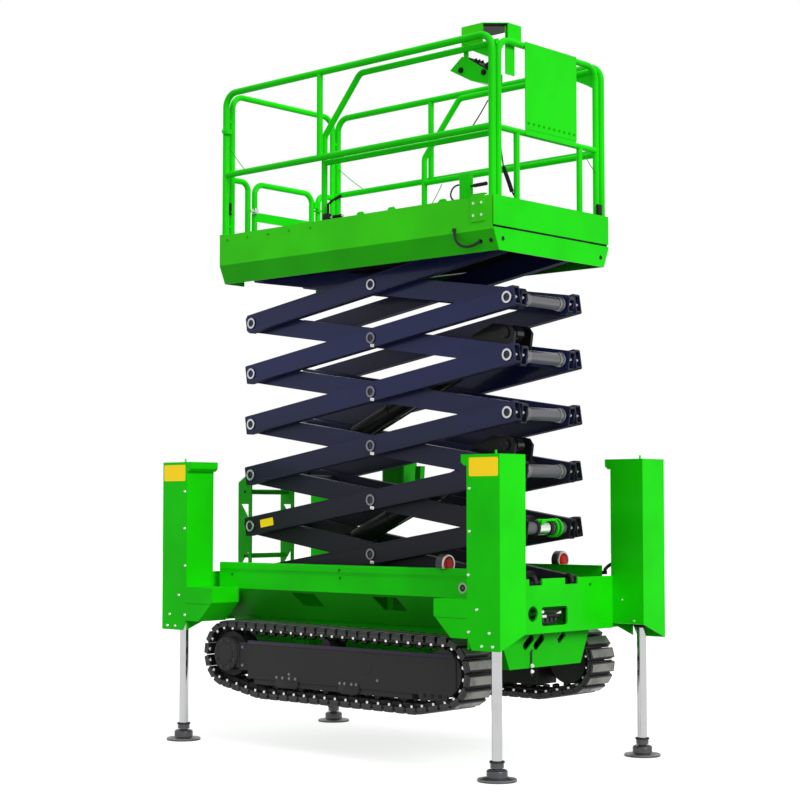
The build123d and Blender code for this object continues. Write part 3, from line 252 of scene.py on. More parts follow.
# ---------------------------------------------------------------------------
# Finishes
# ---------------------------------------------------------------------------
def add_effect(tree, effect, values):
    """One shared effect placed in a material with its own values."""
    node = tree.nodes.new("ShaderNodeGroup")
    node.node_tree = effect
    for label, value in values.items():
        node.inputs[label].default_value = (*value, 1) if isinstance(value, tuple) else value
    return node


def new_finish(name, effect, values, depth):
    """A material with one shared effect wired to its shader; its height is a bump depth mm deep."""
    finish = bpy.data.materials.new(name)
    finish.use_nodes = True
    tree = finish.node_tree
    shader = tree.nodes["Principled BSDF"]
    node = add_effect(tree, effect, values)
    tree.links.new(node.outputs["Colour"], shader.inputs["Base Color"])
    tree.links.new(node.outputs["Roughness"], shader.inputs["Roughness"])
    bump = tree.nodes.new("ShaderNodeBump")
    bump.inputs["Strength"].default_value = 1.0
    bump.inputs["Distance"].default_value = depth * MM
    tree.links.new(node.outputs["Height"], bump.inputs["Height"])
    tree.links.new(bump.outputs["Normal"], shader.inputs["Normal"])
    return finish, shader, node, bump


def painted(name, paint, primer, dust, chipping, dust_amount, gloss, specular, coat, peel=0.05):
    """A sprayed finish; colours are linear."""
    values = {"Paint": paint, "Primer": primer, "Dust": dust, "Edge Width": 0.004}
    values.update({"Chipping": chipping, "Dust Amount": dust_amount, "Gloss": gloss})
    made = new_finish(name, COATING, values, peel)
    made[1].inputs["Specular IOR Level"].default_value = specular
    made[1].inputs["Coat Weight"].default_value = coat
    made[1].inputs["Coat Roughness"].default_value = 0.08
    return made


def metallic(name, metal, stain, rubbed, stains, rub, gloss, lines, relief, metalness):
    """A bare or plated metal finish."""
    values = {"Metal": metal, "Stain": stain, "Rubbed": rubbed, "Stain Amount": stains}
    values.update({"Edge Rub": rub, "Gloss": gloss, "Line Scale": lines})
    made = new_finish(name, METAL, values, relief)
    made[1].inputs["Metallic"].default_value = metalness
    return made


GREEN = (0.011, 0.78, 0.003)
GREEN_PRIMER = (0.08, 0.30, 0.05)
GREEN_DUST = (0.10, 0.42, 0.06)
DECK_GREEN = (GREEN, GREEN_PRIMER, GREEN_DUST, 0.35, 0.12, 0.34, 0.06, 0.03)
HARD_CHROME = ((0.50, 0.50, 0.51), (0.3, 0.29, 0.28), (0.8, 0.8, 0.8))

# name: (paint, primer under its chips, dust, chipping, dust amount, gloss, specular, coat, peel in mm)
PAINTS = {
    "green_paint": DECK_GREEN,
    # The belly's green is the deck green made darker: painted shade on the belly, which lies under the
    # crossmember.
    "belly_shade_green": ((0.010, 0.60, 0.003), GREEN_PRIMER, GREEN_DUST, 0.4, 0.25, 0.38, 0.06, 0.02),
    # The deep green is the deck green made darker for parts that lie in shade: painted shade.
    "deep_green_paint": (
        (0.008, 0.30, 0.003), (0.05, 0.13, 0.04), (0.08, 0.2, 0.06), 0.3, 0.2, 0.42, 0.08, 0.02,
    ),
    # The ladder's green is a less dark copy of the deck green for the ladder and cabinet at the rear: painted
    # shade.
    "ladder_shade_green": ((0.012, 0.50, 0.004), (0.05, 0.2, 0.04), (0.08, 0.3, 0.06), 0.3, 0.2, 0.42, 0.08, 0.02),
    # A darker copy of the green for rivet and bolt heads: painted shade round them.
    "rivet_shade_green": ((0.010, 0.55, 0.003), GREEN_PRIMER, GREEN_DUST, 0.3, 0.12, 0.36, 0.06, 0.03),
    "black_paint": (
        (0.013, 0.013, 0.014), (0.06, 0.06, 0.065), (0.06, 0.055, 0.05), 0.5, 0.3, 0.4, 0.15, 0.04,
    ),
    "track_frame_paint": ((0.036, 0.037, 0.036), (0.10,) * 3, (0.07, 0.06, 0.06), 0.6, 0.3, 0.45, 0.12, 0.0),
    "track_frame_lip_paint": (
        (0.034, 0.026, 0.050), (0.12, 0.12, 0.14), (0.08, 0.07, 0.1), 0.7, 0.3, 0.4, 0.2, 0.0,
    ),
    "lamp_housing": ((0.030,) * 3, (0.2,) * 3, (0.12, 0.12, 0.11), 0.6, 0.3, 0.35, 0.3, 0.1),
    "black_plastic": ((0.008, 0.008, 0.009), (0.03,) * 3, (0.05,) * 3, 0.2, 0.12, 0.5, 0.15, 0.0, 0.12),
    "hose_rubber": ((0.009,) * 3, (0.02,) * 3, (0.06,) * 3, 0.2, 0.25, 0.55, 0.3, 0.0, 0.1),
    "pale_ring": ((0.62, 0.60, 0.55), (0.4, 0.4, 0.38), (0.35, 0.33, 0.3), 0.4, 0.25, 0.35, 0.4, 0.1, 0.03),
}
# name: (metal, stain, rubbed edge, stain amount, edge rub, gloss, line scale, relief in mm, metalness)
METALS = {
    "chrome": (*HARD_CHROME, 0.12, 0.1, 0.13, 140.0, 0.004, 1.0),
    "dark_steel": ((0.035, 0.035, 0.037), (0.02, 0.018, 0.016), (0.16,) * 3, 0.5, 0.5, 0.42, 50.0, 0.05, 0.5),
    "track_steel": (
        (0.014, 0.014, 0.016), (0.02, 0.018, 0.016), (0.20, 0.19, 0.20), 0.5, 0.5, 0.42, 40.0, 0.1, 0.2,
    ),
    "zinc_plate": ((0.72, 0.72, 0.70), (0.35, 0.32, 0.28), (0.85,) * 3, 0.3, 0.2, 0.28, 90.0, 0.02, 1.0),
    "keeper_steel": ((0.20, 0.20, 0.21), (0.06, 0.05, 0.05), (0.5,) * 3, 0.4, 0.4, 0.35, 70.0, 0.02, 0.8),
    "ring_steel": ((0.62, 0.63, 0.64), (0.2, 0.19, 0.18), (0.85,) * 3, 0.35, 0.3, 0.25, 80.0, 0.02, 0.9),
    "tread_steel": (
        (0.24, 0.24, 0.22), (0.10, 0.10, 0.09), (0.6, 0.6, 0.58), 0.7, 0.4, 0.32, 30.0, 0.15, 0.5,
    ),
    "lamp_rim": ((0.55, 0.52, 0.50), (0.3, 0.1, 0.08), (0.8,) * 3, 0.3, 0.3, 0.22, 80.0, 0.02, 0.8),
    "bright_sleeve": ((0.80,) * 3, (0.5, 0.48, 0.45), (0.9,) * 3, 0.1, 0.1, 0.2, 120.0, 0.004, 0.9),
    # The lighter steel of the foot rims is a painted highlight along the top edge of each foot.
    "foot_rim_steel": ((0.22, 0.22, 0.23), (0.1,) * 3, (0.5,) * 3, 0.4, 0.5, 0.4, 60.0, 0.02, 0.6),
    "foot_steel": (
        (0.085, 0.085, 0.092), (0.03, 0.028, 0.03), (0.4, 0.4, 0.42), 0.5, 0.6, 0.3, 50.0, 0.05, 0.6,
    ),
}


# Places that finishes change at, in metres of object coordinates
LOWER_ARMS_Z, UPPER_ARMS_Z = 1.3, 2.5
ARM_FRONTS_FROM_X = 0.4
ROD_EYE_FROM_X = 0.825
SKIRT_TOP_Z = 3.03


def make_arm_paint(name, black_half_width=0.0, black_from=-9.0, bright_tubes=False):
    """Gloss navy, nearer charcoal towards the lower arms. Painted shade: faces that look down take a dim
    navy, and faces that look forward near the front, in the pockets and open ends of the beams, are black.
    What lies within black_half_width of the middle, ahead of black_from, is black: tubes and ears.
    With bright_tubes, the front tubes are bare steel instead. Both limits are metres."""
    finish, shader, node, _ = painted(
        name, (0.012, 0.014, 0.04), (0.06, 0.06, 0.07), (0.05, 0.05, 0.055), 0.35, 0.2, 0.28, 0.14, 0.16
    )
    tree = finish.node_tree
    x, y, z = add_axes(tree, add_place(tree))
    turn_x, _, turn_z = add_axes(tree, add_normal(tree))
    rise = add_range(tree, z, LOWER_ARMS_Z, UPPER_ARMS_Z)
    paint = add_blend(tree, rise, (0.019, 0.018, 0.026, 1), (0.016, 0.023, 0.108, 1))
    middle = add_within(tree, y, -black_half_width, black_half_width)
    middle = times(tree, middle, add_math(tree, "GREATER_THAN", x, black_from))
    below = add_math(tree, "LESS_THAN", turn_z, -0.5)
    front = add_math(tree, "GREATER_THAN", x, ARM_FRONTS_FROM_X)
    ahead = times(tree, add_math(tree, "GREATER_THAN", turn_x, 0.7), front)
    # Painted shade: faces that look down take a dim navy of their own.
    paint = add_blend(tree, below, paint, (0.014, 0.017, 0.050, 1))
    # Black on the middle tubes and ears, and painted shade: forward-facing faces near the front, the pockets
    # and open beam ends, are black too.
    paint = add_blend(tree, add_math(tree, "MAXIMUM", middle, ahead), paint, (0.010, 0.010, 0.013, 1))
    tree.links.new(paint, node.inputs["Paint"])
    glossy = times(tree, add_math(tree, "SUBTRACT", 1.0, below), add_math(tree, "ADD", rise, 0.3))
    tree.links.new(times(tree, glossy, 0.14, clamp=True), shader.inputs["Coat Weight"])
    dull = add_math(tree, "SUBTRACT", 0.3, times(tree, rise, 0.3))
    dull = add_math(tree, "MAXIMUM", dull, times(tree, below, 0.45))
    rough = add_math(tree, "ADD", node.outputs["Roughness"], dull, clamp=True)
    tree.links.new(rough, shader.inputs["Roughness"])
    if bright_tubes:
        tube = times(tree, middle, front)
        steel = add_blend(tree, tube, node.outputs["Colour"], (0.15, 0.15, 0.165, 1))
        tree.links.new(steel, shader.inputs["Base Color"])
        tree.links.new(times(tree, tube, 0.85), shader.inputs["Metallic"])
    return finish


def make_deck_paint():
    """The green of the deck, paler and yellower on its upright sides. Painted shade: a darker green on the
    upright skirt under the deck's edge, and near-black on faces that look down. Its floor has the tread
    plate's lozenges."""
    finish, _, node, bump = painted("deck_paint", *DECK_GREEN)
    tree = finish.node_tree
    _, turn_y, turn_z = add_axes(tree, add_normal(tree))
    side = add_math(tree, "GREATER_THAN", add_math(tree, "ABSOLUTE", turn_y), 0.8)
    height = add_axes(tree, add_place(tree))[2]
    skirt = times(tree, side, add_math(tree, "LESS_THAN", height, SKIRT_TOP_Z))
    below = add_math(tree, "LESS_THAN", turn_z, -0.8)
    paint = add_blend(tree, side, (*GREEN, 1), (0.052, 0.82, 0.008, 1))
    # Painted shade: the skirt under the deck's edge is a darker green.
    paint = add_blend(tree, skirt, paint, (0.026, 0.60, 0.004, 1))
    # Painted shade: faces that look down are near-black.
    paint = add_blend(tree, below, paint, (0.006, 0.10, 0.004, 1))
    tree.links.new(paint, node.inputs["Paint"])
    raised = times(tree, add_effect(tree, TREAD, {}).outputs["Height"], 30.0)
    tree.links.new(add_math(tree, "ADD", node.outputs["Height"], raised), bump.inputs["Height"])
    return finish


def make_label_film():
    """A yellow label film that glows a little: painted light, which makes it brighter than the lamps alone
    would.
    """
    finish, shader, node, _ = painted(
        "label_yellow", (1.0, 0.70, 0.012), (0.8, 0.6, 0.2), (0.6, 0.45, 0.1), 0.2, 0.15, 0.4, 0.1, 0.05, 0.02
    )
    # Painted light: the film glows with its own colour.
    shader.inputs["Emission Strength"].default_value = 0.25
    finish.node_tree.links.new(node.outputs["Colour"], shader.inputs["Emission Color"])
    return finish


def make_rod_chrome():
    """Hard chrome on the rod, and black paint on its eye and pin."""
    finish, shader, node, _ = metallic("rod_chrome", *HARD_CHROME, 0.15, 0.1, 0.15, 140.0, 0.004, 1.0)
    tree = finish.node_tree
    eye = add_math(tree, "GREATER_THAN", add_axes(tree, add_place(tree))[0], ROD_EYE_FROM_X)
    painted_eye = add_blend(tree, eye, node.outputs["Colour"], (0.012, 0.012, 0.013, 1))
    tree.links.new(painted_eye, shader.inputs["Base Color"])
    tree.links.new(add_math(tree, "SUBTRACT", 1.0, eye), shader.inputs["Metallic"])
    return finish


def make_red_lens():
    """Clear red plastic with fine ribs, over a bright reflector."""
    red, cracked, grey = (0.62, 0.006, 0.004), (0.7, 0.05, 0.02), (0.35, 0.02, 0.015)
    finish, _, _, bump = painted("red_lens", red, cracked, grey, 0.1, 0.05, 0.2, 0.12, 0.08, 0.02)
    tree = finish.node_tree
    ribs = tree.nodes.new("ShaderNodeTexWave")
    ribs.inputs["Scale"].default_value = 60.0
    tree.links.new(add_place(tree), ribs.inputs["Vector"])
    tree.links.new(times(tree, ribs.outputs["Fac"], 12.0), bump.inputs["Height"])
    return finish


FINISHES = {name: painted(name, *values)[0] for name, values in PAINTS.items()}
FINISHES.update({name: metallic(name, *values)[0] for name, values in METALS.items()})
FINISHES["arm_paint"] = make_arm_paint("arm_paint")
FINISHES["sleeved_arm_paint"] = make_arm_paint("sleeved_arm_paint", 0.19, bright_tubes=True)
FINISHES["eared_arm_paint"] = make_arm_paint("eared_arm_paint", 0.112, 0.6)
FINISHES["deck_paint"] = make_deck_paint()
FINISHES["label_yellow"] = make_label_film()
FINISHES["rod_chrome"] = make_rod_chrome()
FINISHES["red_lens"] = make_red_lens()

STAGES = range(1, 7)
NODE_FINISHES = {  # the nodes whose finish differs from the one that their slot names
    "sleeved_arm_paint": [f"outer_arms_{stage}" for stage in STAGES],
    "eared_arm_paint": ["inner_arms_3", "inner_arms_5"],
    "rod_chrome": ["lower_lift_rod", "upper_lift_rod"],
    "deck_paint": ["main_deck", "extension_deck", "corner_hood"],
    "foot_steel": [f"foot_pad_{corner}" for _, _, corner in CORNERS],
    "belly_shade_green": ["undercarriage"],
    "ladder_shade_green": ["ladder", "ground_control_box"],
    "track_frame_paint": ["track_frames", "track_wheels"],
    "lamp_housing": ["lamps"],
}
for node in nodes.values():
    for index, material in enumerate(node.data.materials):
        node.data.materials[index] = FINISHES[material.name.split(".")[0]]
for finish, names in NODE_FINISHES.items():
    for name in names:
        nodes[name].data.materials[0] = FINISHES[finish]


# ---------------------------------------------------------------------------
# Modelling steps
# ---------------------------------------------------------------------------
SMOOTH_ANGLE = math.radians(32)


def let_go():
    """Leaves edit mode and selects nothing."""
    if bpy.context.object and bpy.context.object.mode != "OBJECT":
        bpy.ops.object.mode_set(mode="OBJECT")
    bpy.ops.object.select_all(action="DESELECT")


def take(piece):
    """Makes the piece the only one selected."""
    let_go()
    piece.select_set(True)
    bpy.context.view_layer.objects.active = piece


def settle(piece):
    """Puts the piece's place, turn and size into its mesh."""
    take(piece)
    bpy.ops.object.transform_apply(location=True, rotation=True, scale=True)
    return piece


def metres(point):
    """A point or a shift in metres."""
    return [value * MM for value in point]


def add_block(x, y, z):
    """A block between limits along each axis."""
    let_go()
    centre = [(low + high) / 2 * MM for low, high in (x, y, z)]
    size = [(high - low) * MM for low, high in (x, y, z)]
    bpy.ops.mesh.primitive_cube_add(size=1, location=centre, scale=size)
    return settle(bpy.context.object)


def add_rod(centre, axis, radius, length, sides=24, tip=None):
    """A rod, or a cone where tip is the radius of its far end, with its axis through its centre."""
    let_go()
    bpy.ops.mesh.primitive_cone_add(
        vertices=sides,
        radius1=radius * MM,
        radius2=(radius if tip is None else tip) * MM,
        depth=length * MM,
        location=metres(centre),
        rotation=Vector(axis).to_track_quat("Z", "Y").to_euler(),
    )
    return settle(bpy.context.object)


def add_ring(centre, axis, outer, inner, length, sides=32):
    """A plain bush: a rod whose ends are inset and whose bore is bridged."""
    piece = add_rod(centre, axis, outer, length, sides)
    direction = Vector(axis).normalized()
    pick_faces(piece, lambda place, normal: abs(normal.dot(direction)) > 0.9)
    bpy.ops.mesh.inset(thickness=(outer - inner) * MM, use_individual=True)
    bpy.ops.mesh.bridge_edge_loops()
    let_go()
    return piece


def pick(piece, kind):
    """Opens the piece once with nothing selected, so that what is wanted can be selected."""
    take(piece)
    bpy.ops.object.mode_set(mode="EDIT")
    bpy.ops.mesh.select_mode(type=kind)
    bpy.ops.mesh.select_all(action="DESELECT")
    bpy.ops.object.mode_set(mode="OBJECT")


def pick_faces(piece, wanted):
    """Selects the faces for which wanted(centre in mm, normal) is true, and opens the piece."""
    pick(piece, "FACE")
    for face in piece.data.polygons:
        face.select = bool(wanted(face.center / MM, face.normal))
    bpy.ops.object.mode_set(mode="EDIT")


def looking(way, least=0.9):
    """The test for faces that look one way."""
    direction = Vector(way)
    return lambda place, normal: normal.dot(direction) > least


def past(way, distance):
    """The test for edges that lie wholly further than a distance one way from the origin."""
    direction = Vector(way)
    return lambda a, b: a.dot(direction) > distance and b.dot(direction) > distance


def running(way):
    """The test for edges that run parallel to one of the machine's axes."""
    across = [axis for axis in range(3) if not way[axis]]
    return lambda a, b: all(abs(a[axis] - b[axis]) < 0.1 for axis in across)


def round_edges(piece, width, steps=1, wanted=None):
    """Bevels all edges, or those for which wanted(one end, other end, in mm) is true."""
    pick(piece, "EDGE")
    corners = piece.data.vertices
    for edge in piece.data.edges:
        ends = [corners[index].co / MM for index in edge.vertices]
        edge.select = wanted is None or bool(wanted(*ends))
    bpy.ops.object.mode_set(mode="EDIT")
    bpy.ops.mesh.bevel(offset=width * MM, segments=steps, affect="EDGES", clamp_overlap=True)
    let_go()
    return piece


def cut_off(piece, point, normal):
    """Cuts off what lies on the side of the plane that its normal points to."""
    pick_faces(piece, lambda place, direction: True)
    bpy.ops.mesh.bisect(plane_co=metres(point), plane_no=normal, use_fill=True, clear_outer=True)
    let_go()
    return piece


def push_faces(piece, wanted, shift, inset=0.0):
    """Insets the wanted faces, extrudes them and moves them by shift."""
    pick_faces(piece, wanted)
    if inset:
        bpy.ops.mesh.inset(thickness=inset * MM)
    bpy.ops.mesh.extrude_region_move(TRANSFORM_OT_translate={"value": metres(shift)})
    let_go()
    return piece


def join(pieces):
    """Several modelled pieces become one."""
    let_go()
    for piece in pieces:
        piece.select_set(True)
    bpy.context.view_layer.objects.active = pieces[0]
    if len(pieces) > 1:
        bpy.ops.object.join()
    return bpy.context.object


def copies(master, places):
    """Copies of a piece modelled at the origin, one at each place, joined; the first goes."""
    made = []
    for place in places:
        copy = master.copy()
        copy.data = master.data.copy()
        bpy.context.collection.objects.link(copy)
        copy.matrix_world = place
        made.append(copy)
    for copy in made:
        settle(copy)
    piece = join(made)
    bpy.data.objects.remove(master)
    return piece


def facing(point, normal, turn=0.0):
    """The place of a fitting modelled along +Z, set on a face; turn is about its axis, in degrees."""
    spin = Matrix.Rotation(math.radians(turn), 4, "Z")
    aim = Vector(normal).to_track_quat("Z", "Y").to_matrix().to_4x4()
    return Matrix.Translation(metres(point)) @ aim @ spin


def outward(point):
    """The place of a fitting on a side face of the machine, at a point on either side."""
    return facing(point, (0, math.copysign(1, point[1]), 0))


def reach(side, near, far):
    """Limits along one side or end of the machine, in rising order."""
    return tuple(sorted((side * near, side * far)))


def finish_piece(piece, name, body, slot, finish=None):
    """Names, smooths, paints and mounts a modelled piece; its finish is its slot's, or the one given."""
    take(piece)
    piece.name = name
    piece.data.name = name
    piece.data.materials.clear()
    piece.data.materials.append(FINISHES[finish or slot])
    bpy.ops.object.shade_smooth_by_angle(angle=SMOOTH_ANGLE)
    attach(piece, body)


def tube_piece(points, radius, order=3):
    """A hose or wire along a smooth line through its control points, made a mesh."""
    let_go()
    curve = bpy.data.curves.new("route", "CURVE")
    curve.dimensions = "3D"
    curve.bevel_depth = radius * MM
    curve.bevel_resolution = 3
    curve.resolution_u = 8
    curve.use_fill_caps = True
    spline = curve.splines.new("NURBS")
    spline.points.add(len(points) - 1)
    for point, place in zip(spline.points, points):
        point.co = (*metres(place), 1)
    spline.order_u = order
    spline.use_endpoint_u = True
    route = bpy.data.objects.new("route", curve)
    bpy.context.collection.objects.link(route)
    route.select_set(True)
    bpy.context.view_layer.objects.active = route
    bpy.ops.object.convert(target="MESH")
    return bpy.context.object


def hex_bolt(radius, height):
    """A washer with a hexagon head on it, modelled upright at the origin."""
    washer = add_rod((0, 0, 1), UP, radius * 1.35, 2, 16)
    head = add_rod((0, 0, 2 + height / 2), UP, radius * 1.12, height, 6)
    round_edges(head, radius * 0.14, 1, past(UP, 1.9 + height))
    return join([washer, head])


def round_head_bolt():
    """A low round-headed bolt with a socket, modelled upright at the origin."""
    head = add_rod((0, 0, 2.5), UP, 9, 5, 16, 7)
    return push_faces(head, looking(UP), (0, 0, -2.5), 3)


# ---------------------------------------------------------------------------
# Tracks
# ---------------------------------------------------------------------------
TRACK_WHEELS = [  # (x, z, radius) round the outside of the shoes, anticlockwise from the sprocket
    (-893, 563, 205),
    (-600, 368, 62),
    (690, 368, 62),
    (893, 548, 202),
]
TRACK_Y = 563
SHOE_COUNT = 56
FIRST_SHOE = 0.41  # how far along its share of the loop the first shoe stands


def track_runs():
    """(length, x, z, radius, outward angle at the start, curved) of each stretch of the loop."""
    straights = []
    for i, (xa, za, ra) in enumerate(TRACK_WHEELS):
        xb, zb, rb = TRACK_WHEELS[(i + 1) % len(TRACK_WHEELS)]
        span = math.hypot(xb - xa, zb - za)
        normal = math.atan2(zb - za, xb - xa) - math.pi / 2 + math.asin((ra - rb) / span)
        straights.append((normal, math.sqrt(span**2 - (ra - rb) ** 2)))
    runs = []
    for i, (x, z, radius) in enumerate(TRACK_WHEELS):
        before = straights[i - 1][0]
        normal, length = straights[i]
        swing = (normal - before) % (2 * math.pi)
        runs.append((radius * swing, x, z, radius, before, True))
        runs.append((length, x, z, radius, normal, False))
    return runs


def track_places(side):
    """Places of the shoes of one track; a shoe is modelled with +Z outwards and +X along."""
    runs = track_runs()
    total = sum(run[0] for run in runs)
    places = []
    for i in range(SHOE_COUNT):
        distance = (i + FIRST_SHOE) * total / SHOE_COUNT
        for length, x, z, radius, normal, curved in runs:
            if distance <= length:
                break
            distance -= length
        if curved:
            normal += distance / radius
            distance = 0
        out_x, out_z = math.cos(normal), math.sin(normal)
        spot = (x + radius * out_x - distance * out_z, side * TRACK_Y, z + radius * out_z + distance * out_x)
        places.append(Matrix.Translation(metres(spot)) @ Matrix.Rotation(math.pi / 2 - normal, 4, "Y"))
    return places


def model_shoe():
    """A track shoe: a pad with sloped ends on its plate, and its link's two rails and tooth."""
    pad = add_block((-31, 31), (-116, 116), (-26, 0))
    round_edges(pad, 7, 2, past(UP, -1))
    plate = round_edges(add_block((-35, 35), (-118, 118), (-38, -24)), 3)
    rails = []
    for side in (-1, 1):
        rail = add_block((-40, 40), (side * 40 - 11, side * 40 + 11), (-64, -37))
        rails.append(round_edges(rail, 8, 1, past(DOWN, 60)))
    tooth = add_block((-18, 18), (-13, 13), (-84, -37))
    return join([pad, plate, *rails, round_edges(tooth, 6, 1, past(DOWN, 80))])


def model_shoe_nuts():
    """The nuts under both ends of a shoe."""
    nuts = [add_rod((0, y, -45), UP, 11, 15, 6) for y in (-103, 103)]
    return join([round_edges(nut, 2, 1, past(DOWN, 50)) for nut in nuts])


def model_pin():
    """A link's pin, with its rounded ends."""
    pin = add_rod((42.5, 0, -50), LEFT, 8, 116, 12)
    return round_edges(pin, 2, 1, lambda a, b: abs(a.y) > 57 and abs(b.y) > 57)


def model_tread_face():
    """The worn running face of a shoe, let into its pad between the end ridges."""
    face = add_block((-24, 24), (-104, 104), (-2, 0.8))
    return round_edges(face, 2, 1, past(UP, 0))


for side, word in SIDES:
    faces = copies(model_tread_face(), track_places(side))
    finish_piece(faces, f"track_faces_{word}", "chassis", "track_steel", "tread_steel")
    shoes = copies(model_shoe(), track_places(side))
    finish_piece(shoes, f"track_shoes_{word}", "chassis", "track_steel")
    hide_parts(f"track_{word}")
    nuts = copies(model_shoe_nuts(), track_places(side))
    finish_piece(nuts, f"track_nuts_{word}", "chassis", "chrome", "zinc_plate")
    pins = copies(model_pin(), track_places(side))
    finish_piece(pins, f"track_pins_{word}", "chassis", "track_steel")


# ---------------------------------------------------------------------------
# Fittings of the undercarriage
# ---------------------------------------------------------------------------
SPROCKET_X, SPROCKET_Z, _ = TRACK_WHEELS[0]
FRAME_FACE = 671  # the outer face of a track frame's plate
GUARD_FACE, NOSE_GUARD_FACE, REAR_PLATE_FACE = 677, 675, 664  # of its guards and its rear end
PLATE_REAR, PLATE_BOTTOM, PLATE_TOP = -700, 425, 634
DRIVE_COVER_FACE, DRIVE_BOLT_CIRCLE = 681, 86
STRAP_FACE = 1102  # the outer face of the strap on the front of the belly
BRACKET_FRONT = 1015  # the front face of the brackets above the tracks


def model_frame_plate(side):
    """The outer plate of a track frame, chamfered at the bottom of its nose, with its guards."""
    plate = add_block((PLATE_REAR, 990), reach(side, 664.4, FRAME_FACE), (PLATE_BOTTOM, PLATE_TOP))
    cut_off(plate, (956, 0, PLATE_BOTTOM), (70, 0, -66))
    parts = [round_edges(plate, 1.5)]
    for low, high in ((-447, -255), (89, 252)):
        guard = add_block((low, high), reach(side, 658, GUARD_FACE), (385, 458))
        cut_off(guard, (low, 0, 405), (-1, 0, -1.2))
        cut_off(guard, (high, 0, 405), (1, 0, -1.2))
        parts.append(round_edges(guard, 2.5, 2))
    nose = add_block((720, 928), reach(side, 654, NOSE_GUARD_FACE), (395, 447))
    parts.append(round_edges(cut_off(nose, (720, 0, 410), (-1, 0, -1)), 2.5, 2))
    cover = add_rod((314, side * (FRAME_FACE + 1), 546), LEFT, 34, 6, 32)
    parts.append(round_edges(cover, 1.5))
    rear = add_block((-784, PLATE_REAR), reach(side, 655, REAR_PLATE_FACE), (470, 640))
    push_faces(rear, looking(BACK), (-26, 0, 0), 14)
    return join([*parts, round_edges(rear, 2)])


def model_frame_lip(side):
    """The folded lip along the top of a track frame's plate."""
    lip = add_block((PLATE_REAR, 984), reach(side, 650, FRAME_FACE + 3), (PLATE_TOP, PLATE_TOP + 22))
    cut_off(lip, (984, 0, PLATE_TOP + 6), (1, 0, 1))
    return round_edges(lip, 3, 2)


def model_drive_cap(side):
    """The raised middle of a drive cover, in two steps."""
    cap = add_rod((SPROCKET_X, side * (DRIVE_COVER_FACE + 1), SPROCKET_Z), (0, side, 0), 66, 6, 40)
    push_faces(cap, looking((0, side, 0)), (0, side * 4, 0), 12)
    return round_edges(cap, 1.5)


def round_circle(count, radius, first=22.5):
    """(right, up) of points at equal steps round a circle."""
    turns = [math.radians(first + 360 / count * i) for i in range(count)]
    return [(radius * math.cos(turn), radius * math.sin(turn)) for turn in turns]


for side, word in SIDES:
    plate = model_frame_plate(side)
    finish_piece(plate, f"track_frame_plate_{word}", "chassis", "black_paint", "track_frame_paint")
    lip = model_frame_lip(side)
    finish_piece(lip, f"track_frame_lip_{word}", "chassis", "black_paint", "track_frame_lip_paint")
    finish_piece(model_drive_cap(side), f"drive_cap_{word}", "chassis", "black_paint", "track_frame_paint")
    spots = []
    for across, up in round_circle(8, DRIVE_BOLT_CIRCLE):
        spots.append(outward((SPROCKET_X + across, side * DRIVE_COVER_FACE, SPROCKET_Z + up)))
    finish_piece(copies(hex_bolt(7, 6), spots), f"drive_bolts_{word}", "chassis", "dark_steel")
    spots = [(x, side * GUARD_FACE, 446) for x in (-432, -380, -322, -270, 104, 142, 199, 237)]
    spots += [(-752, side * REAR_PLATE_FACE, z) for z in (500, 610)]
    spots += [(-330, side * FRAME_FACE, 470), (400, side * FRAME_FACE, 480)]
    bolts = copies(hex_bolt(7, 6), [facing(spot, (0, side, 0), 12) for spot in spots])
    finish_piece(bolts, f"track_frame_bolts_{word}", "chassis", "chrome", "keeper_steel")
    plugs = copies(hex_bolt(9, 2), [outward((x, side * NOSE_GUARD_FACE, 422)) for x in (765, 822, 880)])
    finish_piece(plugs, f"nose_guard_plugs_{word}", "chassis", "dark_steel", "black_plastic")


def model_belly_strap():
    """A folded strap on the front of the belly, with its eye hanging below the edge."""
    strap = add_block((STRAP_FACE - 4.6, STRAP_FACE), (-146, -130), (540, 652))
    push_faces(strap, looking(DOWN), (6, 0, -26))
    push_faces(strap, looking(UP), (0, 18, 10))
    return round_edges(strap, 1.2)


def model_track_bracket(side):
    """The sloping bracket above the front of a track, held by the belly's stub."""
    arm = add_block((BRACKET_FRONT - 30, BRACKET_FRONT), reach(side, 425, 600), (660, 712))
    push_faces(arm, looking((0, side, 0)), (0, side * 56, -30), 4)
    cut_off(arm, (BRACKET_FRONT, side * 470, 712), (0, side * 0.35, 1))
    return round_edges(arm, 3, 2)


finish_piece(model_belly_strap(), "belly_strap", "chassis", "black_paint")
spots = [facing((STRAP_FACE + 1, -138, z), AHEAD, 20) for z in (572, 540)]
finish_piece(copies(hex_bolt(9, 10), spots), "belly_strap_bolts", "chassis", "chrome", "zinc_plate")
for side, word in SIDES:
    finish_piece(model_track_bracket(side), f"track_bracket_{word}", "chassis", "black_paint")
    spots = [facing((BRACKET_FRONT, side * y, z), AHEAD) for y, z in ((520, 690), (585, 672))]
    bolts = copies(hex_bolt(6, 5), spots)
    finish_piece(bolts, f"track_bracket_bolts_{word}", "chassis", "chrome", "zinc_plate")


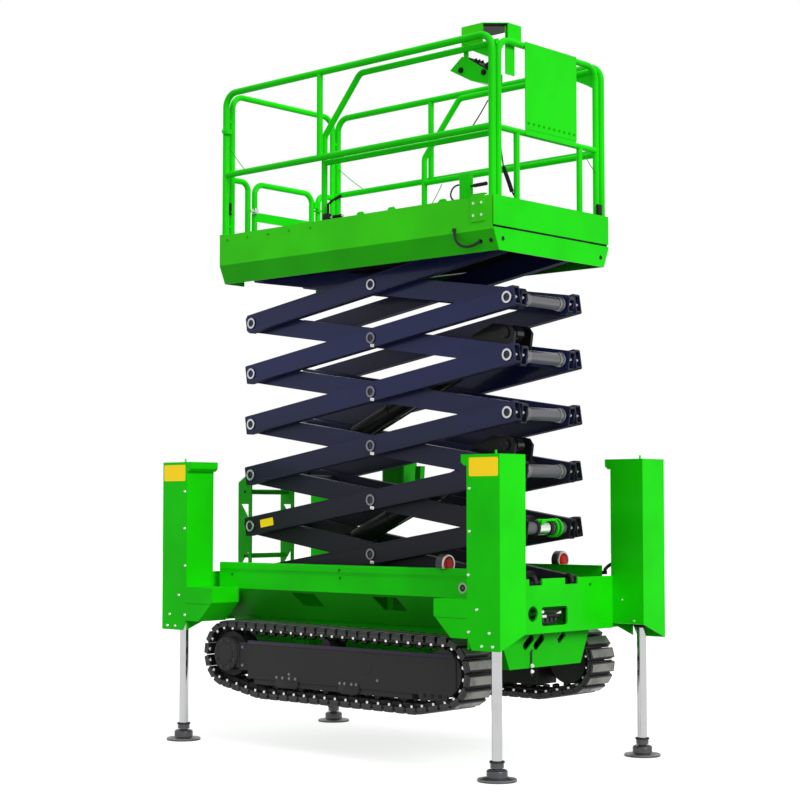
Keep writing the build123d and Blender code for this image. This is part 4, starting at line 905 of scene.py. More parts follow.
# ---------------------------------------------------------------------------
# Fittings of the chassis and its four columns
# ---------------------------------------------------------------------------
COLUMN_FACE, COLUMN_INNER_FACE = 774, 552  # how far out a column's two side faces stand
COLUMN_BOLTS = [  # (x, z) on the outer face of a front column
    (1181, 1574),
    (1181, 1341),
    (1173, 1106),
    (1232, 920),
    (1173, 797),
    (1319, 797),
    (1266, 725),
    (1342, 725),
]
INNER_COLUMN_BOLTS = [(1240, 923), (1324, 803)]  # (x, z) on the face towards the machine
LABEL_X, LABEL_Z = (1179, 1383), (1640, 1742)
LEG_X, LEG_Y = 1290, 677
WIPER_BOTTOM = 758  # the lower face of the wipers under the leg guides
COVER_FACE = 548  # the outer face of the side covers
COVER_BOLT_Z, RIB_BOLT_Z, RIB_Z = 1052, 1099, (1082, 1120)
COVER_EYE_X, COVER_EYE_Z = 940, 1020
LAMP_X, LAMP_Y, LAMP_Z, LAMP_SEAT_Z = 820, 532, 1152, 1127.5


def column_bolt_places():
    """Places of the bolts on both side faces of all four columns."""
    places = []
    for end, side, _ in CORNERS:
        places += [outward((end * x, side * COLUMN_FACE, z)) for x, z in COLUMN_BOLTS]
        for x, z in INNER_COLUMN_BOLTS:
            places.append(facing((end * x, side * COLUMN_INNER_FACE, z), (0, -side, 0)))
    return places


def model_column_label(end, side):
    """A blank plate with rounded corners near the top of a column."""
    face = reach(side, COLUMN_FACE + 0.1, COLUMN_FACE + 1)
    return round_edges(add_block(reach(end, *LABEL_X), face, LABEL_Z), 8, 3, running(LEFT))


def model_wipers():
    """The rubber wipers where the legs slide out of their guides."""
    wipers = []
    for x in (-LEG_X, LEG_X):
        for y in (-LEG_Y, LEG_Y):
            wiper = add_ring((x, y, WIPER_BOTTOM + 6), UP, 44, 30, 12)
            wipers.append(round_edges(wiper, 2.5, 1, past(DOWN, -WIPER_BOTTOM - 1)))
    return join(wipers)


def cover_bolt_places():
    """Places of the bolts along both side covers; the upper middle one stands on the rib."""
    places = []
    for side, _ in SIDES:
        places.append(outward((-25, side * (COVER_FACE + 6), RIB_BOLT_Z)))
        places.append(outward((-25, side * COVER_FACE, COVER_BOLT_Z)))
    for side, _ in SIDES:
        places += [outward((x, side * COVER_FACE, COVER_BOLT_Z)) for x in (-980, 980)]
    return places


def model_cover_rib(side):
    """A raised strip along a side cover, above its groove."""
    rib = add_block((-1090, 1090), reach(side, COVER_FACE - 0.4, COVER_FACE + 4), RIB_Z)
    return push_faces(rib, looking((0, side, 0)), (0, side * 2, 0), 4)


def cover_ring(side, out, outer, inner, length):
    """A ring round the hole of a side cover."""
    centre = (COVER_EYE_X, side * (COVER_FACE + out), COVER_EYE_Z)
    return round_edges(add_ring(centre, LEFT, outer, inner, length), 1)


def model_lamp_lens(side):
    """The domed lens of a lamp, cut off level with its seat."""
    lens = add_rod((LAMP_X, side * LAMP_Y, LAMP_Z), AHEAD, 36, 10, 32, 30)
    push_faces(lens, looking(AHEAD), (4, 0, 0), 8)
    return cut_off(lens, (LAMP_X, 0, LAMP_SEAT_Z), DOWN)


def model_lamp_rim(side):
    """The rim round a lamp's lens."""
    rim = add_ring((LAMP_X - 1, side * LAMP_Y, LAMP_Z), AHEAD, 54, 42, 9, 40)
    round_edges(rim, 2.5, 2, past(AHEAD, LAMP_X + 3))
    return cut_off(rim, (LAMP_X, 0, LAMP_SEAT_Z), DOWN)


bolts = copies(round_head_bolt(), column_bolt_places())
finish_piece(bolts, "column_bolts", "chassis", "chrome", "zinc_plate")
for side, word in SIDES:
    for end, place in ((1, "front"), (-1, "rear")):
        label = model_column_label(end, side)
        finish_piece(label, f"column_label_{place}_{word}", "chassis", "black_plastic", "label_yellow")
finish_piece(model_wipers(), "leg_wipers", "chassis", "black_plastic", "hose_rubber")
# The side cover bolts take the deep green: painted shade.
bolts = copies(round_head_bolt(), cover_bolt_places())
finish_piece(bolts, "side_cover_bolts", "chassis", "black_paint", "deep_green_paint")
for side, word in SIDES:
    eye = cover_ring(side, 2, 31, 20, 5)
    finish_piece(eye, f"side_cover_eye_{word}", "chassis", "black_plastic", "pale_ring")
    grommet = cover_ring(side, 1.5, 20, 6, 4)
    finish_piece(grommet, f"side_cover_grommet_{word}", "chassis", "black_plastic", "hose_rubber")
for side, word in SIDES:
    finish_piece(model_cover_rib(side), f"side_cover_rib_{word}", "chassis", "green_paint")
for side, word in SIDES:
    finish_piece(model_lamp_lens(side), f"lamp_lens_{word}", "chassis", "red_lens")
    finish_piece(model_lamp_rim(side), f"lamp_rim_{word}", "chassis", "chrome", "lamp_rim")


# ---------------------------------------------------------------------------
# Fittings of the front crossmember and the outrigger arms
# ---------------------------------------------------------------------------
HOSE_SPACING = 338  # between the two hoses that dip through the crossmember's notches
FOLD_Z = (868, 871)


def model_crossmember_hoses():
    """Two hoses from the chassis that dip through the notches of the front crossmember."""
    first = [(1112, -176, 985), (1112, -180, 1052), (1134, -186, 1078)]
    first += [(1158, -188, 1080), (1176, -190, 1060), (1176, -190, 1040)]
    second = [(x, y + HOSE_SPACING, z) for x, y, z in first]
    return join([tube_piece(first, 14), tube_piece(second, 14)])


def model_valve_hoses():
    """Pressure hoses behind the window of the front crossmember."""
    upper = [(1120, -160, 882), (1140, -60, 884), (1142, 40, 872), (1130, 120, 880)]
    lower = [(1110, -150, 846), (1136, -90, 850), (1142, 10, 858), (1128, 90, 842)]
    return join([tube_piece(upper, 10), tube_piece(lower, 10)])


def model_valve_block():
    """The valve block behind the window, with its ports."""
    block = round_edges(add_block((1085, 1125), (-96, 66), (806, 846)), 3)
    return join([block, *[add_rod((1130, y, 828), AHEAD, 12, 12, 6) for y in (-74, -34, 6, 44)]])


def model_valve_fittings():
    """The end fittings of the pressure hoses."""
    spots = ((-92, 878), (66, 868), (-70, 850))
    fittings = [add_rod((1134, y, z), (0.3, 1, 0), 13, 34, 12) for y, z in spots]
    return join([round_edges(fitting, 2) for fitting in fittings])


def model_pump_lever():
    """The grip of the hand pump beside the front left column, with its knuckle."""
    grip = tube_piece([(1118, 548, 1098), (1120, 566, 1118), (1126, 600, 1136), (1132, 645, 1140)], 11, 4)
    knuckle = add_block((1108, 1130), (534, 560), (1072, 1096))
    return join([grip, round_edges(knuckle, 4, 2)])


def model_fold_shade_lines():
    """Thin strips of the shaded green along the folds of the outrigger arms, under the columns: painted shade
    for the dark line under each fold.
    """
    strips = []
    for end, side, _ in CORNERS:
        strip = add_block(reach(end, 925, 1160), reach(side, COLUMN_FACE - 3, COLUMN_FACE + 1.5), FOLD_Z)
        strips.append(round_edges(strip, 1))
    return join(strips)


finish_piece(model_crossmember_hoses(), "crossmember_hoses", "chassis", "black_plastic", "hose_rubber")
finish_piece(model_valve_hoses(), "valve_hoses", "chassis", "black_plastic", "hose_rubber")
finish_piece(model_valve_block(), "valve_block", "chassis", "dark_steel")
finish_piece(model_valve_fittings(), "valve_fittings", "chassis", "chrome", "zinc_plate")
finish_piece(model_pump_lever(), "hand_pump_lever", "chassis", "black_plastic")
# The plug takes the deep green: painted shade.
plug = copies(round_head_bolt(), [facing((1172, 327, 1022), AHEAD)])
finish_piece(plug, "crossmember_plug", "chassis", "black_paint", "deep_green_paint")
# Painted shade: dark strips where the folds' shadow lines fall.
finish_piece(model_fold_shade_lines(), "outrigger_fold_shade_lines", "chassis", "green_paint", "deep_green_paint")


# ---------------------------------------------------------------------------
# Fittings of the scissor arms and lift cylinders
# ---------------------------------------------------------------------------
FRONT_X, REAR_X, BASE_Z, RISE = 1075, -1068, 1024, 329.2
MIDDLE_X = (FRONT_X + REAR_X) / 2
HALF = math.hypot(FRONT_X - REAR_X, RISE) / 2  # half an arm, from its middle pivot to an end
ARM_SLOPE = math.atan2(RISE, FRONT_X - REAR_X)
ARM_FACE = 313  # the outer face of the outer arms
OUTER_BEAM_MIDDLE, INNER_BEAM_MIDDLE = 285.5, 222.5  # how far out the beams' middles are
WELD_RISE, KEEPER_RISE = 51, -49  # weld beads and keeper bolts, from an outer beam's centre line
PIN_HEAD_FACE = 102  # the heads of the pins through the ears
BARREL_LENGTH = 1190  # from a lift cylinder's lower pin to the end face of its gland
EAR_ALONG, EAR_RISE = 220, 122  # a lift cylinder's ears, from the front pivot of an inner arm
FOOT_PIN_ALONG = 1552  # its lower pin, from the front pivot of the inner arm two stages below


def level(stage):
    """Height of the end pivots above a stage."""
    return BASE_Z + stage * RISE


def along_arm(stage, leaning, along, rise, y):
    """A point of an arm: along it from its middle to the front, and above its centre line.
    leaning is 1 for the outer arms, which rise to the front, and -1 for the inner arms."""
    slope = leaning * ARM_SLOPE
    x = MIDDLE_X + along * math.cos(slope) - rise * math.sin(slope)
    z = level(stage - 0.5) + along * math.sin(slope) + rise * math.cos(slope)
    return x, y, z


def pin_end():
    """The end of a pivot pin in its ring: a dished disc with a grease nipple."""
    disc = add_rod((0, 0, 1.5), UP, 14.6, 3)
    push_faces(disc, looking(UP), (0, 0, -1), 4)
    return join([disc, add_rod((0, 0, 5), UP, 4, 8, 10, 2.5)])


def boss_ring():
    """The turned face of a pivot boss, with a stepped edge."""
    return round_edges(add_ring((0, 0, 4.2), UP, 35, 23, 8.4, 36), 1.6, 2, past(UP, 8))


def keeper_bolt():
    """The small bolt and tab that keep a pivot pin from turning."""
    tab = round_edges(add_block((-9, 9), (-16, 16), (0, 3)), 4, 2, running(UP))
    return join([tab, round_edges(add_rod((0, 2, 6), UP, 7, 6, 6), 1, 1, past(UP, 8))])


def bush_nipple():
    """The grease nipple on a pivot bush that shows in the open end of a beam."""
    return push_faces(add_rod((0, 0, 2.5), UP, 8, 5, 6), looking(UP), (0, 0, 6), 3)


def tube_collars(stage):
    """Two stepped collars on the tube that joins the front ends of a pair of outer arms."""
    x, _, z = along_arm(stage, 1, HALF, 0, 0)
    collars = []
    for side, _ in SIDES:
        for y, radius, length in ((152, 41, 30), (172, 44.5, 10)):
            collar = add_ring((x, side * y, z), LEFT, radius, 36, length, 36)
            collars.append(round_edges(collar, 2.5, 2))
    return join(collars)


def bush_nipple_places(stage, leaning, y):
    """Places of the nipples in the open ends of a pair of beams."""
    places = []
    for end in (1, -1):
        x, _, z = along_arm(stage, leaning, end * HALF, 0, 0)
        places += [facing((x + end * 37, side * y, z), (end, 0, 0)) for side, _ in SIDES]
    return places


for stage in STAGES:
    body = f"outer_arms_{stage}"
    pivots = (-HALF, 0, HALF)
    spots = [along_arm(stage, 1, along, 0, side * ARM_FACE) for along in pivots for side, _ in SIDES]
    pins = copies(pin_end(), [outward((x, y + math.copysign(1, y), z)) for x, y, z in spots])
    finish_piece(pins, f"pin_ends_{stage}", body, "dark_steel")
    bright = [spot for spot in spots if abs(spot[0] - MIDDLE_X) > 1 or stage == 6]
    dull = [spot for spot in spots if spot not in bright]
    rings = copies(boss_ring(), map(outward, bright))
    finish_piece(rings, f"boss_rings_{stage}", body, "chrome", "ring_steel")
    if dull:
        rings = copies(boss_ring(), map(outward, dull))
        finish_piece(rings, f"middle_rings_{stage}", body, "dark_steel", "keeper_steel")
    if stage > 1:
        finish_piece(tube_collars(stage), f"tube_collars_{stage}", body, "chrome", "keeper_steel")
    for kind, leaning, y in (("outer", 1, OUTER_BEAM_MIDDLE), ("inner", -1, INNER_BEAM_MIDDLE)):
        nipples = copies(bush_nipple(), bush_nipple_places(stage, leaning, y))
        finish_piece(nipples, f"{kind}_bush_nipples_{stage}", f"{kind}_arms_{stage}", "chrome", "zinc_plate")
    if stage < 6:
        spots = []
        for side, _ in SIDES:
            spot = along_arm(stage, 1, 6, KEEPER_RISE, side * ARM_FACE)
            spots.append(facing(spot, (0, side, 0), 90 - math.degrees(ARM_SLOPE)))
        finish_piece(copies(keeper_bolt(), spots), f"keeper_bolts_{stage}", body, "chrome", "zinc_plate")


def model_beam_welds(stage):
    """The weld beads along the corners of a pair of outer beams, on their outer faces."""
    radius, reach_past_pivot = 2.2, 20
    beads = []
    for side, _ in SIDES:
        for rise in (-WELD_RISE, WELD_RISE):
            start = Vector(along_arm(stage, 1, -HALF - reach_past_pivot, rise, side * (ARM_FACE - 0.6)))
            end = Vector(along_arm(stage, 1, HALF + reach_past_pivot, rise, side * (ARM_FACE - 0.6)))
            bead = add_rod((start + end) / 2, end - start, radius, (end - start).length, 8)
            beads.append(round_edges(bead, 1, 1, lambda a, b: (a - b).length < radius * 1.2))
    return join(beads)


def model_arm_label():
    """A small blank plate on the second outer arm, near its rear end."""
    label = round_edges(add_block((-60, 60), (-0.5, 0.5), (-25, 25)), 5, 3, running(LEFT))
    place = Matrix.Translation(metres(along_arm(2, 1, -931, 0, -ARM_FACE - 0.6)))
    label.matrix_world = place @ Matrix.Rotation(-ARM_SLOPE, 4, "Y")
    return settle(label)


def axle_ring(y, outer, inner, length, rounding, steps):
    """A ring round the front axle of the first stage."""
    return round_edges(add_ring((FRONT_X, y, level(1)), LEFT, outer, inner, length, 40), rounding, steps)


def model_prop_rings():
    """Two rings, a bar and its foot round the front axle: the maintenance prop, folded away."""
    z = level(1)
    bar = add_block((FRONT_X + 12, FRONT_X + 34), (-74, 96), (z + 38, z + 52))
    foot = add_block((FRONT_X + 30, FRONT_X + 52), (-66, -40), (z + 20, z + 50))
    rings = [axle_ring(y, 56, 42, 13, 2, 1) for y in (88, 124)]
    return join([*rings, round_edges(bar, 5, 2), round_edges(foot, 4, 2)])


for stage in STAGES:
    finish_piece(model_beam_welds(stage), f"outer_beam_welds_{stage}", f"outer_arms_{stage}", "arm_paint")
finish_piece(model_arm_label(), "arm_label", "outer_arms_2", "black_plastic", "label_yellow")
finish_piece(model_prop_rings(), "prop_rings", "outer_arms_1", "green_paint")
finish_piece(axle_ring(-18, 40, 37.6, 96, 1, 1), "axle_sleeve", "outer_arms_1", "chrome", "bright_sleeve")
collars = join([axle_ring(y, 46, 38, 22, 3, 2) for y in (-78, 44)])
finish_piece(collars, "sleeve_collars", "outer_arms_1", "black_paint")


def cylinder_axis(stage):
    """Base point, unit direction and upward normal of the lift cylinder on an inner arm."""
    base = Vector(along_arm(stage, -1, HALF - FOOT_PIN_ALONG, 0, 0))
    way = (Vector(along_arm(stage + 2, -1, HALF - EAR_ALONG, EAR_RISE, 0)) - base).normalized()
    return base, way, Vector((-way.z, 0, way.x))


def model_barrel_pipe(stage):
    """The steel pipe along a lift cylinder, with its port blocks and clips."""
    base, way, up = cylinder_axis(stage)

    def beside(along, rise, y):
        """A point beside the barrel: along its axis, above it and to the left."""
        return base + way * along + up * rise + Vector((0, y, 0))

    route = ((120, 52), (170, 62), (600, 62), (1050, 62), (1100, 50))
    parts = [tube_piece([beside(along, -40, y) for along, y in route], 7)]
    for along in (120, 1104):
        parts.append(round_edges(add_rod(beside(along, -38, 42), LEFT, 17, 26, 6), 2))
    for along in (380, 780):
        parts.append(round_edges(add_ring(beside(along, 0, 0), way, 61, 56.2, 22, 40), 1))
    return join(parts)


def model_gland_screws(stage):
    """Cap screws round the gland of a lift cylinder."""
    base, way, up = cylinder_axis(stage)
    gland = base + way * BARREL_LENGTH
    places = [facing(gland + up * rise + Vector((0, y, 0)), way) for rise, y in round_circle(8, 48)]
    screw = add_rod((0, 0, 3.5), UP, 6, 7, 12)
    return copies(push_faces(screw, looking(UP), (0, 0, -3), 2), places)


def ear_bolt_places(stage):
    """Bolts of the pin heads on the ears of an inner arm."""
    places = []
    for side, _ in SIDES:
        for along, rise in round_circle(3, 22, 40):
            spot = along_arm(stage, -1, HALF - EAR_ALONG + along, EAR_RISE + rise, side * PIN_HEAD_FACE)
            places.append(outward(spot))
    return places


for name, stage in (("lower", 1), ("upper", 3)):
    finish_piece(model_barrel_pipe(stage), f"{name}_barrel_pipe", f"{name}_barrel", "black_paint")
    screws = model_gland_screws(stage)
    finish_piece(screws, f"{name}_gland_screws", f"{name}_barrel", "chrome", "zinc_plate")
for stage in (3, 5):
    bolts = copies(hex_bolt(5, 4), ear_bolt_places(stage))
    finish_piece(bolts, f"ear_bolts_{stage}", f"inner_arms_{stage}", "dark_steel")


# ---------------------------------------------------------------------------
# Fittings of the platform
# ---------------------------------------------------------------------------
SKIRT_X, SKIRT_Z = (1052, 1128), 2969  # the plugs on the sloping skirt under the deck
TOE_BOARD_FACE = 542
TOE_BOARD_TOP = 3223
TOE_FITTINGS_Z = 3226  # where the fittings beside the toe boards' top edge start
TOE_BOLTS_X, TOE_BOLTS_Z = range(-1050, -250, 190), 3190
BRACKET_X = (1000, 1104)  # the corner brackets of the extension
POST_LATCH_Y, POST_PIN_Z = 481, 3246
PANEL_FACE, PANEL_RIVETS_Y, PANEL_RIVETS_Z = 1159, range(-216, 217, 48), 3676
BOX_TOP_REAR, BOX_TOP_FRONT = Vector((879, 0, 4066)), Vector((1044, 0, 3959))  # the control box's slope
SKIRT_BOTTOM_Y, SKIRT_BOTTOM_Z, SKIRT_BEND_Z = 495, 2913, 3027


def skirt_face(z):
    """Distance out to the sloping skirt of the deck at a height."""
    share = (z - SKIRT_BOTTOM_Z) / (SKIRT_BEND_Z - SKIRT_BOTTOM_Z)
    return SKIRT_BOTTOM_Y + share * (TOE_BOARD_FACE - SKIRT_BOTTOM_Y)


def hole_plug():
    """A dark rubber plug in a round hole, modelled upright at the origin."""
    return push_faces(add_rod((0, 0, 0.6), UP, 13, 2.4), looking(UP), (0, 0, -1.2), 3)


def hole_plug_places():
    """Places of the plugs in the deck's sloping skirts and its ends."""
    places = []
    for side in (-1, 1):
        for x in SKIRT_X:
            places.append(facing((x, side * skirt_face(SKIRT_Z), SKIRT_Z), (0, side * 0.925, -0.38)))
    places += [facing((1167, y, z), AHEAD) for y, z in ((-461, 2980), (461, 2968))]
    places += [facing((-1127, y, 2980), BACK) for y in (-461, 461)]
    return places


def model_skirt_hose():
    """The short hose that hangs in a bow on the skirt between two fittings."""
    route = [(880, -543, 3042), (884, -556, 3010), (905, -552, 2962)]
    route += [(960, -540, 2938), (1020, -540, 2946), (1052, -522, 2969)]
    nut = add_rod((880, -549, 3046), (0.1, 0, 1), 12, 22, 6)
    return join([tube_piece(route, 8, 4), round_edges(nut, 2)])


def model_corner_bracket(side):
    """The bolted plate that ties the extension's toe board to its corner post."""
    plate = add_block(BRACKET_X, reach(side, TOE_BOARD_FACE + 0.3, TOE_BOARD_FACE + 5), (3078, 3236))
    round_edges(plate, 8, 2, running(LEFT))
    fold = add_block(BRACKET_X, reach(side, 520, TOE_BOARD_FACE + 5), (3232, 3238))
    return join([plate, round_edges(fold, 2)])


def model_panel_foot():
    """The folded strip that hooks the panel's lower edge behind the rail."""
    strip = add_block((1152, 1157), (-238, 238), (3606, 3640))
    return round_edges(push_faces(strip, looking(DOWN), (-6, 0, 0), 1), 1)


def model_control_panel():
    """The dark plate on the sloping top of the control box, with its switches and stick."""
    plate = round_edges(add_block((-84, 84), (-58, 58), (0.4, 7)), 6, 2, running(UP))
    boot = push_faces(add_rod((20, 10, 20), UP, 26, 26, 24, 12), looking(UP), (0, 0, 8), 2)
    stick = add_rod((20, 10, 62), (0.12, 0, 1), 6, 70, 16)
    knob = round_edges(add_rod((26, 10, 104), (0.12, 0, 1), 13, 34, 20, 16), 5, 3)
    parts = [plate, boot, stick, knob]
    for x, y in ((-50, -30), (-50, 0), (-50, 30), (-20, -38)):
        switch = add_rod((x, y, 10), UP, 9, 8, 20)
        parts.append(push_faces(switch, looking(UP), (0, 0, 6), 4))
    guard = [(66, -50, 5), (74, -50, 46), (74, -20, 58), (74, 20, 58), (74, 50, 46), (66, 50, 5)]
    panel = join([*parts, tube_piece(guard, 5)])
    slope = (BOX_TOP_FRONT - BOX_TOP_REAR).normalized()
    turn = Matrix((slope, Vector(LEFT), Vector((-slope.z, 0, slope.x)))).transposed().to_4x4()
    panel.matrix_world = Matrix.Translation(metres((961, -375, 4013))) @ turn
    return settle(panel)


def stop_button():
    """A button with a raised middle, modelled upright at the origin."""
    return push_faces(add_rod((0, 0, 4), UP, 17, 8), looking(UP), (0, 0, 5), 4)


def model_hood_shade_sheet():
    """A black sheet in two layers under the top of the corner hood: painted shade where the hood's underside
    lies in shade.
    """
    shade_sheet = add_block((880, 1128), (-462, -254), (4222, 4230.6))
    cut_off(shade_sheet, (1077, -416, 4226), (1, -1.06, 0))
    return push_faces(shade_sheet, looking(DOWN), (0, 0, -4), 10)


def model_junction_box():
    """The junction box on the toe board inside the right rail, with its raised lid."""
    box = round_edges(add_block((856, 934), (-478, -440), (TOE_FITTINGS_Z, 3384)), 6, 2)
    return push_faces(box, looking(RIGHT, 0.95), (0, -3, 0), 8)


def model_latch_grip():
    """The grip of the deck latch, with its thinner neck."""
    grip = round_edges(add_rod((1003, -462, 3306), (1, 0, 0.02), 11, 96, 20), 5, 3)
    return push_faces(grip, looking(BACK), (-26, 0, 0), 5)


def model_pull_bar():
    """The padded bar that pulls the extension out, on its thin hook."""
    pad = tube_piece([(1120, -398, 3402), (1122, -376, 3362), (1124, -340, 3296), (1124, -326, 3268)], 12)
    hook = tube_piece([(1124, -326, 3272), (1124, -312, 3250), (1128, -296, 3236), (1130, -276, 3224)], 4.5)
    upper = tube_piece([(1120, -396, 3398), (1120, -414, 3480), (1121, -430, 3560), (1122, -440, 3590)], 4)
    return join([pad, hook, upper])


def model_rail_clamp():
    """A two-part clamp with its bolt, round a rail that runs along +X, at the origin."""
    ring = add_ring((0, 0, 0), AHEAD, 27, 21.2, 34, 28)
    ear = round_edges(add_block((-14, 14), (-7, 7), (22, 44)), 3)
    bolt = add_rod((0, 0, 34), LEFT, 6, 28, 6)
    return join([round_edges(ring, 1.5), ear, bolt])


def rear_clamp_places():
    """Places of the clamps round the two rear posts, with their ears towards the middle."""
    upright = Matrix.Rotation(math.pi / 2, 4, "Y")
    places = []
    for side, _ in SIDES:
        turn = upright @ Matrix.Rotation(-math.pi / 2 * side, 4, "X")
        places.append(Matrix.Translation(metres((-1087, side * 515.7, 3900))) @ turn)
    return places


def model_gate_latch():
    """The bright latch of the rear gate, with its tongue."""
    body = round_edges(add_block((-1094, -1060), (-292, -262), (3392, 3428)), 4, 2)
    tongue = round_edges(add_block((-1082, -1072), (-318, -288), (3402, 3418)), 3, 2)
    return join([body, tongue])


def model_deck_latch():
    """The dark latch that locks the extension to the deck, by the middle post."""
    base_top = 3104
    base = round_edges(add_block((-252, -84), (-446, -412), (3089, base_top)), 4, 2)
    arm = add_block((-230, -120), (-436, -422), (base_top, 3160))
    cut_off(arm, (-120, 0, 3120), (1, 0, 1))
    knob = add_rod((-214, -429, 3178), UP, 12, 40, 20, 16)
    return join([base, round_edges(arm, 4, 2), round_edges(knob, 4, 2)])


def model_toe_hooks():
    """Small sheet hooks inside the toe boards, that stand above their edge."""
    half = 34
    hooks = []
    for side, _ in SIDES:
        for x in (126, 379, 780):
            hook = add_block((x - half, x + half), reach(side, 531, 536), (3200, 3240))
            cut_off(hook, (x + half, 0, TOE_FITTINGS_Z), (1, 0, 1.2))
            cut_off(hook, (x - half, 0, TOE_FITTINGS_Z), (-1, 0, 1.2))
            hooks.append(round_edges(hook, 1))
    return join(hooks)


def model_post_latch(side):
    """The spring latch beside the middle post: a body, a bent lever, a thumb grip and its spring."""
    body = round_edges(add_block((-232, -186), reach(side, 462, 500), (TOE_FITTINGS_Z, 3272)), 5, 2)
    lever = add_block((-206, -196), reach(side, 474, 488), (3262, 3330))
    push_faces(lever, looking(UP), (46, 0, 26))
    push_faces(lever, lambda place, normal: normal.z > 0.6 and place.z > 3340, (22, 0, 2))
    grip = round_edges(add_rod((-118, side * POST_LATCH_Y, 3362), (1, 0, 0.3), 10, 58, 18), 4, 2)
    coils = []
    for i in range(6):
        coils.append(add_ring((-150 + 12 * i, side * POST_LATCH_Y, POST_PIN_Z), AHEAD, 12, 7, 7, 16))
    return join([body, round_edges(lever, 2.5), grip, *coils])


def model_post_latch_pin(side):
    """The bright pin of the spring latch."""
    return round_edges(add_rod((-130, side * POST_LATCH_Y, POST_PIN_Z), AHEAD, 6.5, 130, 16), 2)


def model_rear_clips():
    """Plastic clips that tie the rear corner posts to the rear hoop."""
    clips = []
    for side, _ in SIDES:
        clip = add_block((-1112, -1084), reach(side, 478, 508), (3392, 3440))
        clips.append(round_edges(push_faces(clip, looking(DOWN), (10, 0, -30), 3), 4, 2))
    return join(clips)


def model_toe_caps():
    """The rounded caps on the corners of the toe boards."""
    z = (TOE_BOARD_TOP, TOE_BOARD_TOP + 6)
    caps = [add_block((-1129, -1090), reach(side, 512, 544), z) for side, _ in SIDES]
    return join([round_edges(cap, 2, 2) for cap in caps])


WIRES = [  # (body, start, end, radius, finish) of the thin safety wires and the control box's lead
    ("extension", (1068, -470, 3780), (934, -470, 3630), 3.6, "hose_rubber"),
    ("extension", (1146, 340, 3570), (1146, 449, 3480), 2.6, "ladder_shade_green"),
    ("platform", (-1080, -505, 3800), (-930, -512, 3640), 2.6, "ladder_shade_green"),
    ("platform", (-1080, 505, 3800), (-861, 512, 3640), 2.6, "ladder_shade_green"),
    ("extension", (-104, 468, 3570), (-200, 466, 3440), 2.6, "ladder_shade_green"),
]
WIRE_SAG = 12
CABLE = [(862, -462, 3320), (820, -465, 3330), (775, -470, 3290), (790, -474, 3240), (838, -474, 3226)]

finish_piece(copies(hole_plug(), hole_plug_places()), "deck_hole_plugs", "platform", "black_plastic")
finish_piece(model_skirt_hose(), "skirt_hose", "platform", "black_plastic", "hose_rubber")
for side, word in SIDES:
    bracket = model_corner_bracket(side)
    finish_piece(bracket, f"corner_bracket_{word}", "extension", "green_paint", "deck_paint")
    spots = [outward((x, side * (TOE_BOARD_FACE + 5), z)) for x in (1022, 1083) for z in (3114, 3184)]
    bolts = copies(hex_bolt(6, 5), spots)
    finish_piece(bolts, f"corner_bracket_bolts_{word}", "extension", "chrome", "zinc_plate")
rivets = copies(round_head_bolt(), [facing((PANEL_FACE, y, PANEL_RIVETS_Z), AHEAD) for y in PANEL_RIVETS_Y])
finish_piece(rivets, "panel_rivets", "extension", "green_paint", "rivet_shade_green")
finish_piece(model_panel_foot(), "panel_foot", "extension", "green_paint")
finish_piece(model_control_panel(), "control_panel", "extension", "black_plastic")
buttons = copies(stop_button(), [facing((x, -440, z), RIGHT) for x, z in ((842, 3995), (1014, 3956))])
finish_piece(buttons, "control_box_knobs", "extension", "black_plastic")
# Painted shade: a black sheet under the hood's top.
finish_piece(model_hood_shade_sheet(), "hood_shade_sheet", "extension", "black_plastic")
finish_piece(model_junction_box(), "junction_box", "extension", "green_paint")
finish_piece(tube_piece(CABLE, 5, 4), "junction_cable", "extension", "black_plastic", "hose_rubber")
finish_piece(model_latch_grip(), "deck_latch_grip", "extension", "black_plastic")
finish_piece(model_pull_bar(), "pull_bar", "extension", "black_plastic")
catch = round_edges(add_block((1150, 1166), (440, 484), (TOE_FITTINGS_Z, 3290)), 4, 2)
finish_piece(catch, "extension_catch", "extension", "black_plastic")
for number, (body, start, end, radius, finish) in enumerate(WIRES, 1):
    middle = (Vector(start) + Vector(end)) / 2 - Vector((0, 0, WIRE_SAG))
    wire = tube_piece([start, middle, end], radius)
    finish_piece(wire, f"safety_wire_{number}", body, "dark_steel", finish)
finish_piece(copies(model_rail_clamp(), rear_clamp_places()), "rail_clamps", "platform", "green_paint")
finish_piece(model_gate_latch(), "gate_latch", "gate", "chrome", "zinc_plate")
finish_piece(model_deck_latch(), "deck_latch", "extension", "black_plastic")
spots = [outward((x, side * TOE_BOARD_FACE, TOE_BOLTS_Z)) for side, _ in SIDES for x in TOE_BOLTS_X]
bolts = copies(round_head_bolt(), spots)
finish_piece(bolts, "toe_board_bolts", "platform", "green_paint", "rivet_shade_green")
for side, word in SIDES:
    finish_piece(model_post_latch(side), f"post_latch_{word}", "platform", "black_plastic")
    finish_piece(model_post_latch_pin(side), f"post_latch_pin_{word}", "platform", "chrome", "zinc_plate")
finish_piece(model_toe_hooks(), "toe_board_hooks", "platform", "green_paint")
finish_piece(model_rear_clips(), "rear_post_clips", "platform", "black_plastic")
finish_piece(model_toe_caps(), "toe_board_caps", "platform", "green_paint")


# ---------------------------------------------------------------------------
# Fittings of the ground control cabinet, the ladder and the feet
# ---------------------------------------------------------------------------
DOOR_X, DOOR_Z = (-712, -534), (1468, 1767)  # of the cabinet's door, and of its back panel
LADDER_X, LADDER_INNER_FACE, RUNG_LEVELS = -1253, 188, (1156, 1366, 1576)


def model_cabinet_door():
    """The cabinet's door, proud of its front, with an inset panel."""
    door = add_block(DOOR_X, (690, 696), DOOR_Z)
    return round_edges(push_faces(door, looking(LEFT), (0, -2.5, 0), 14), 1)


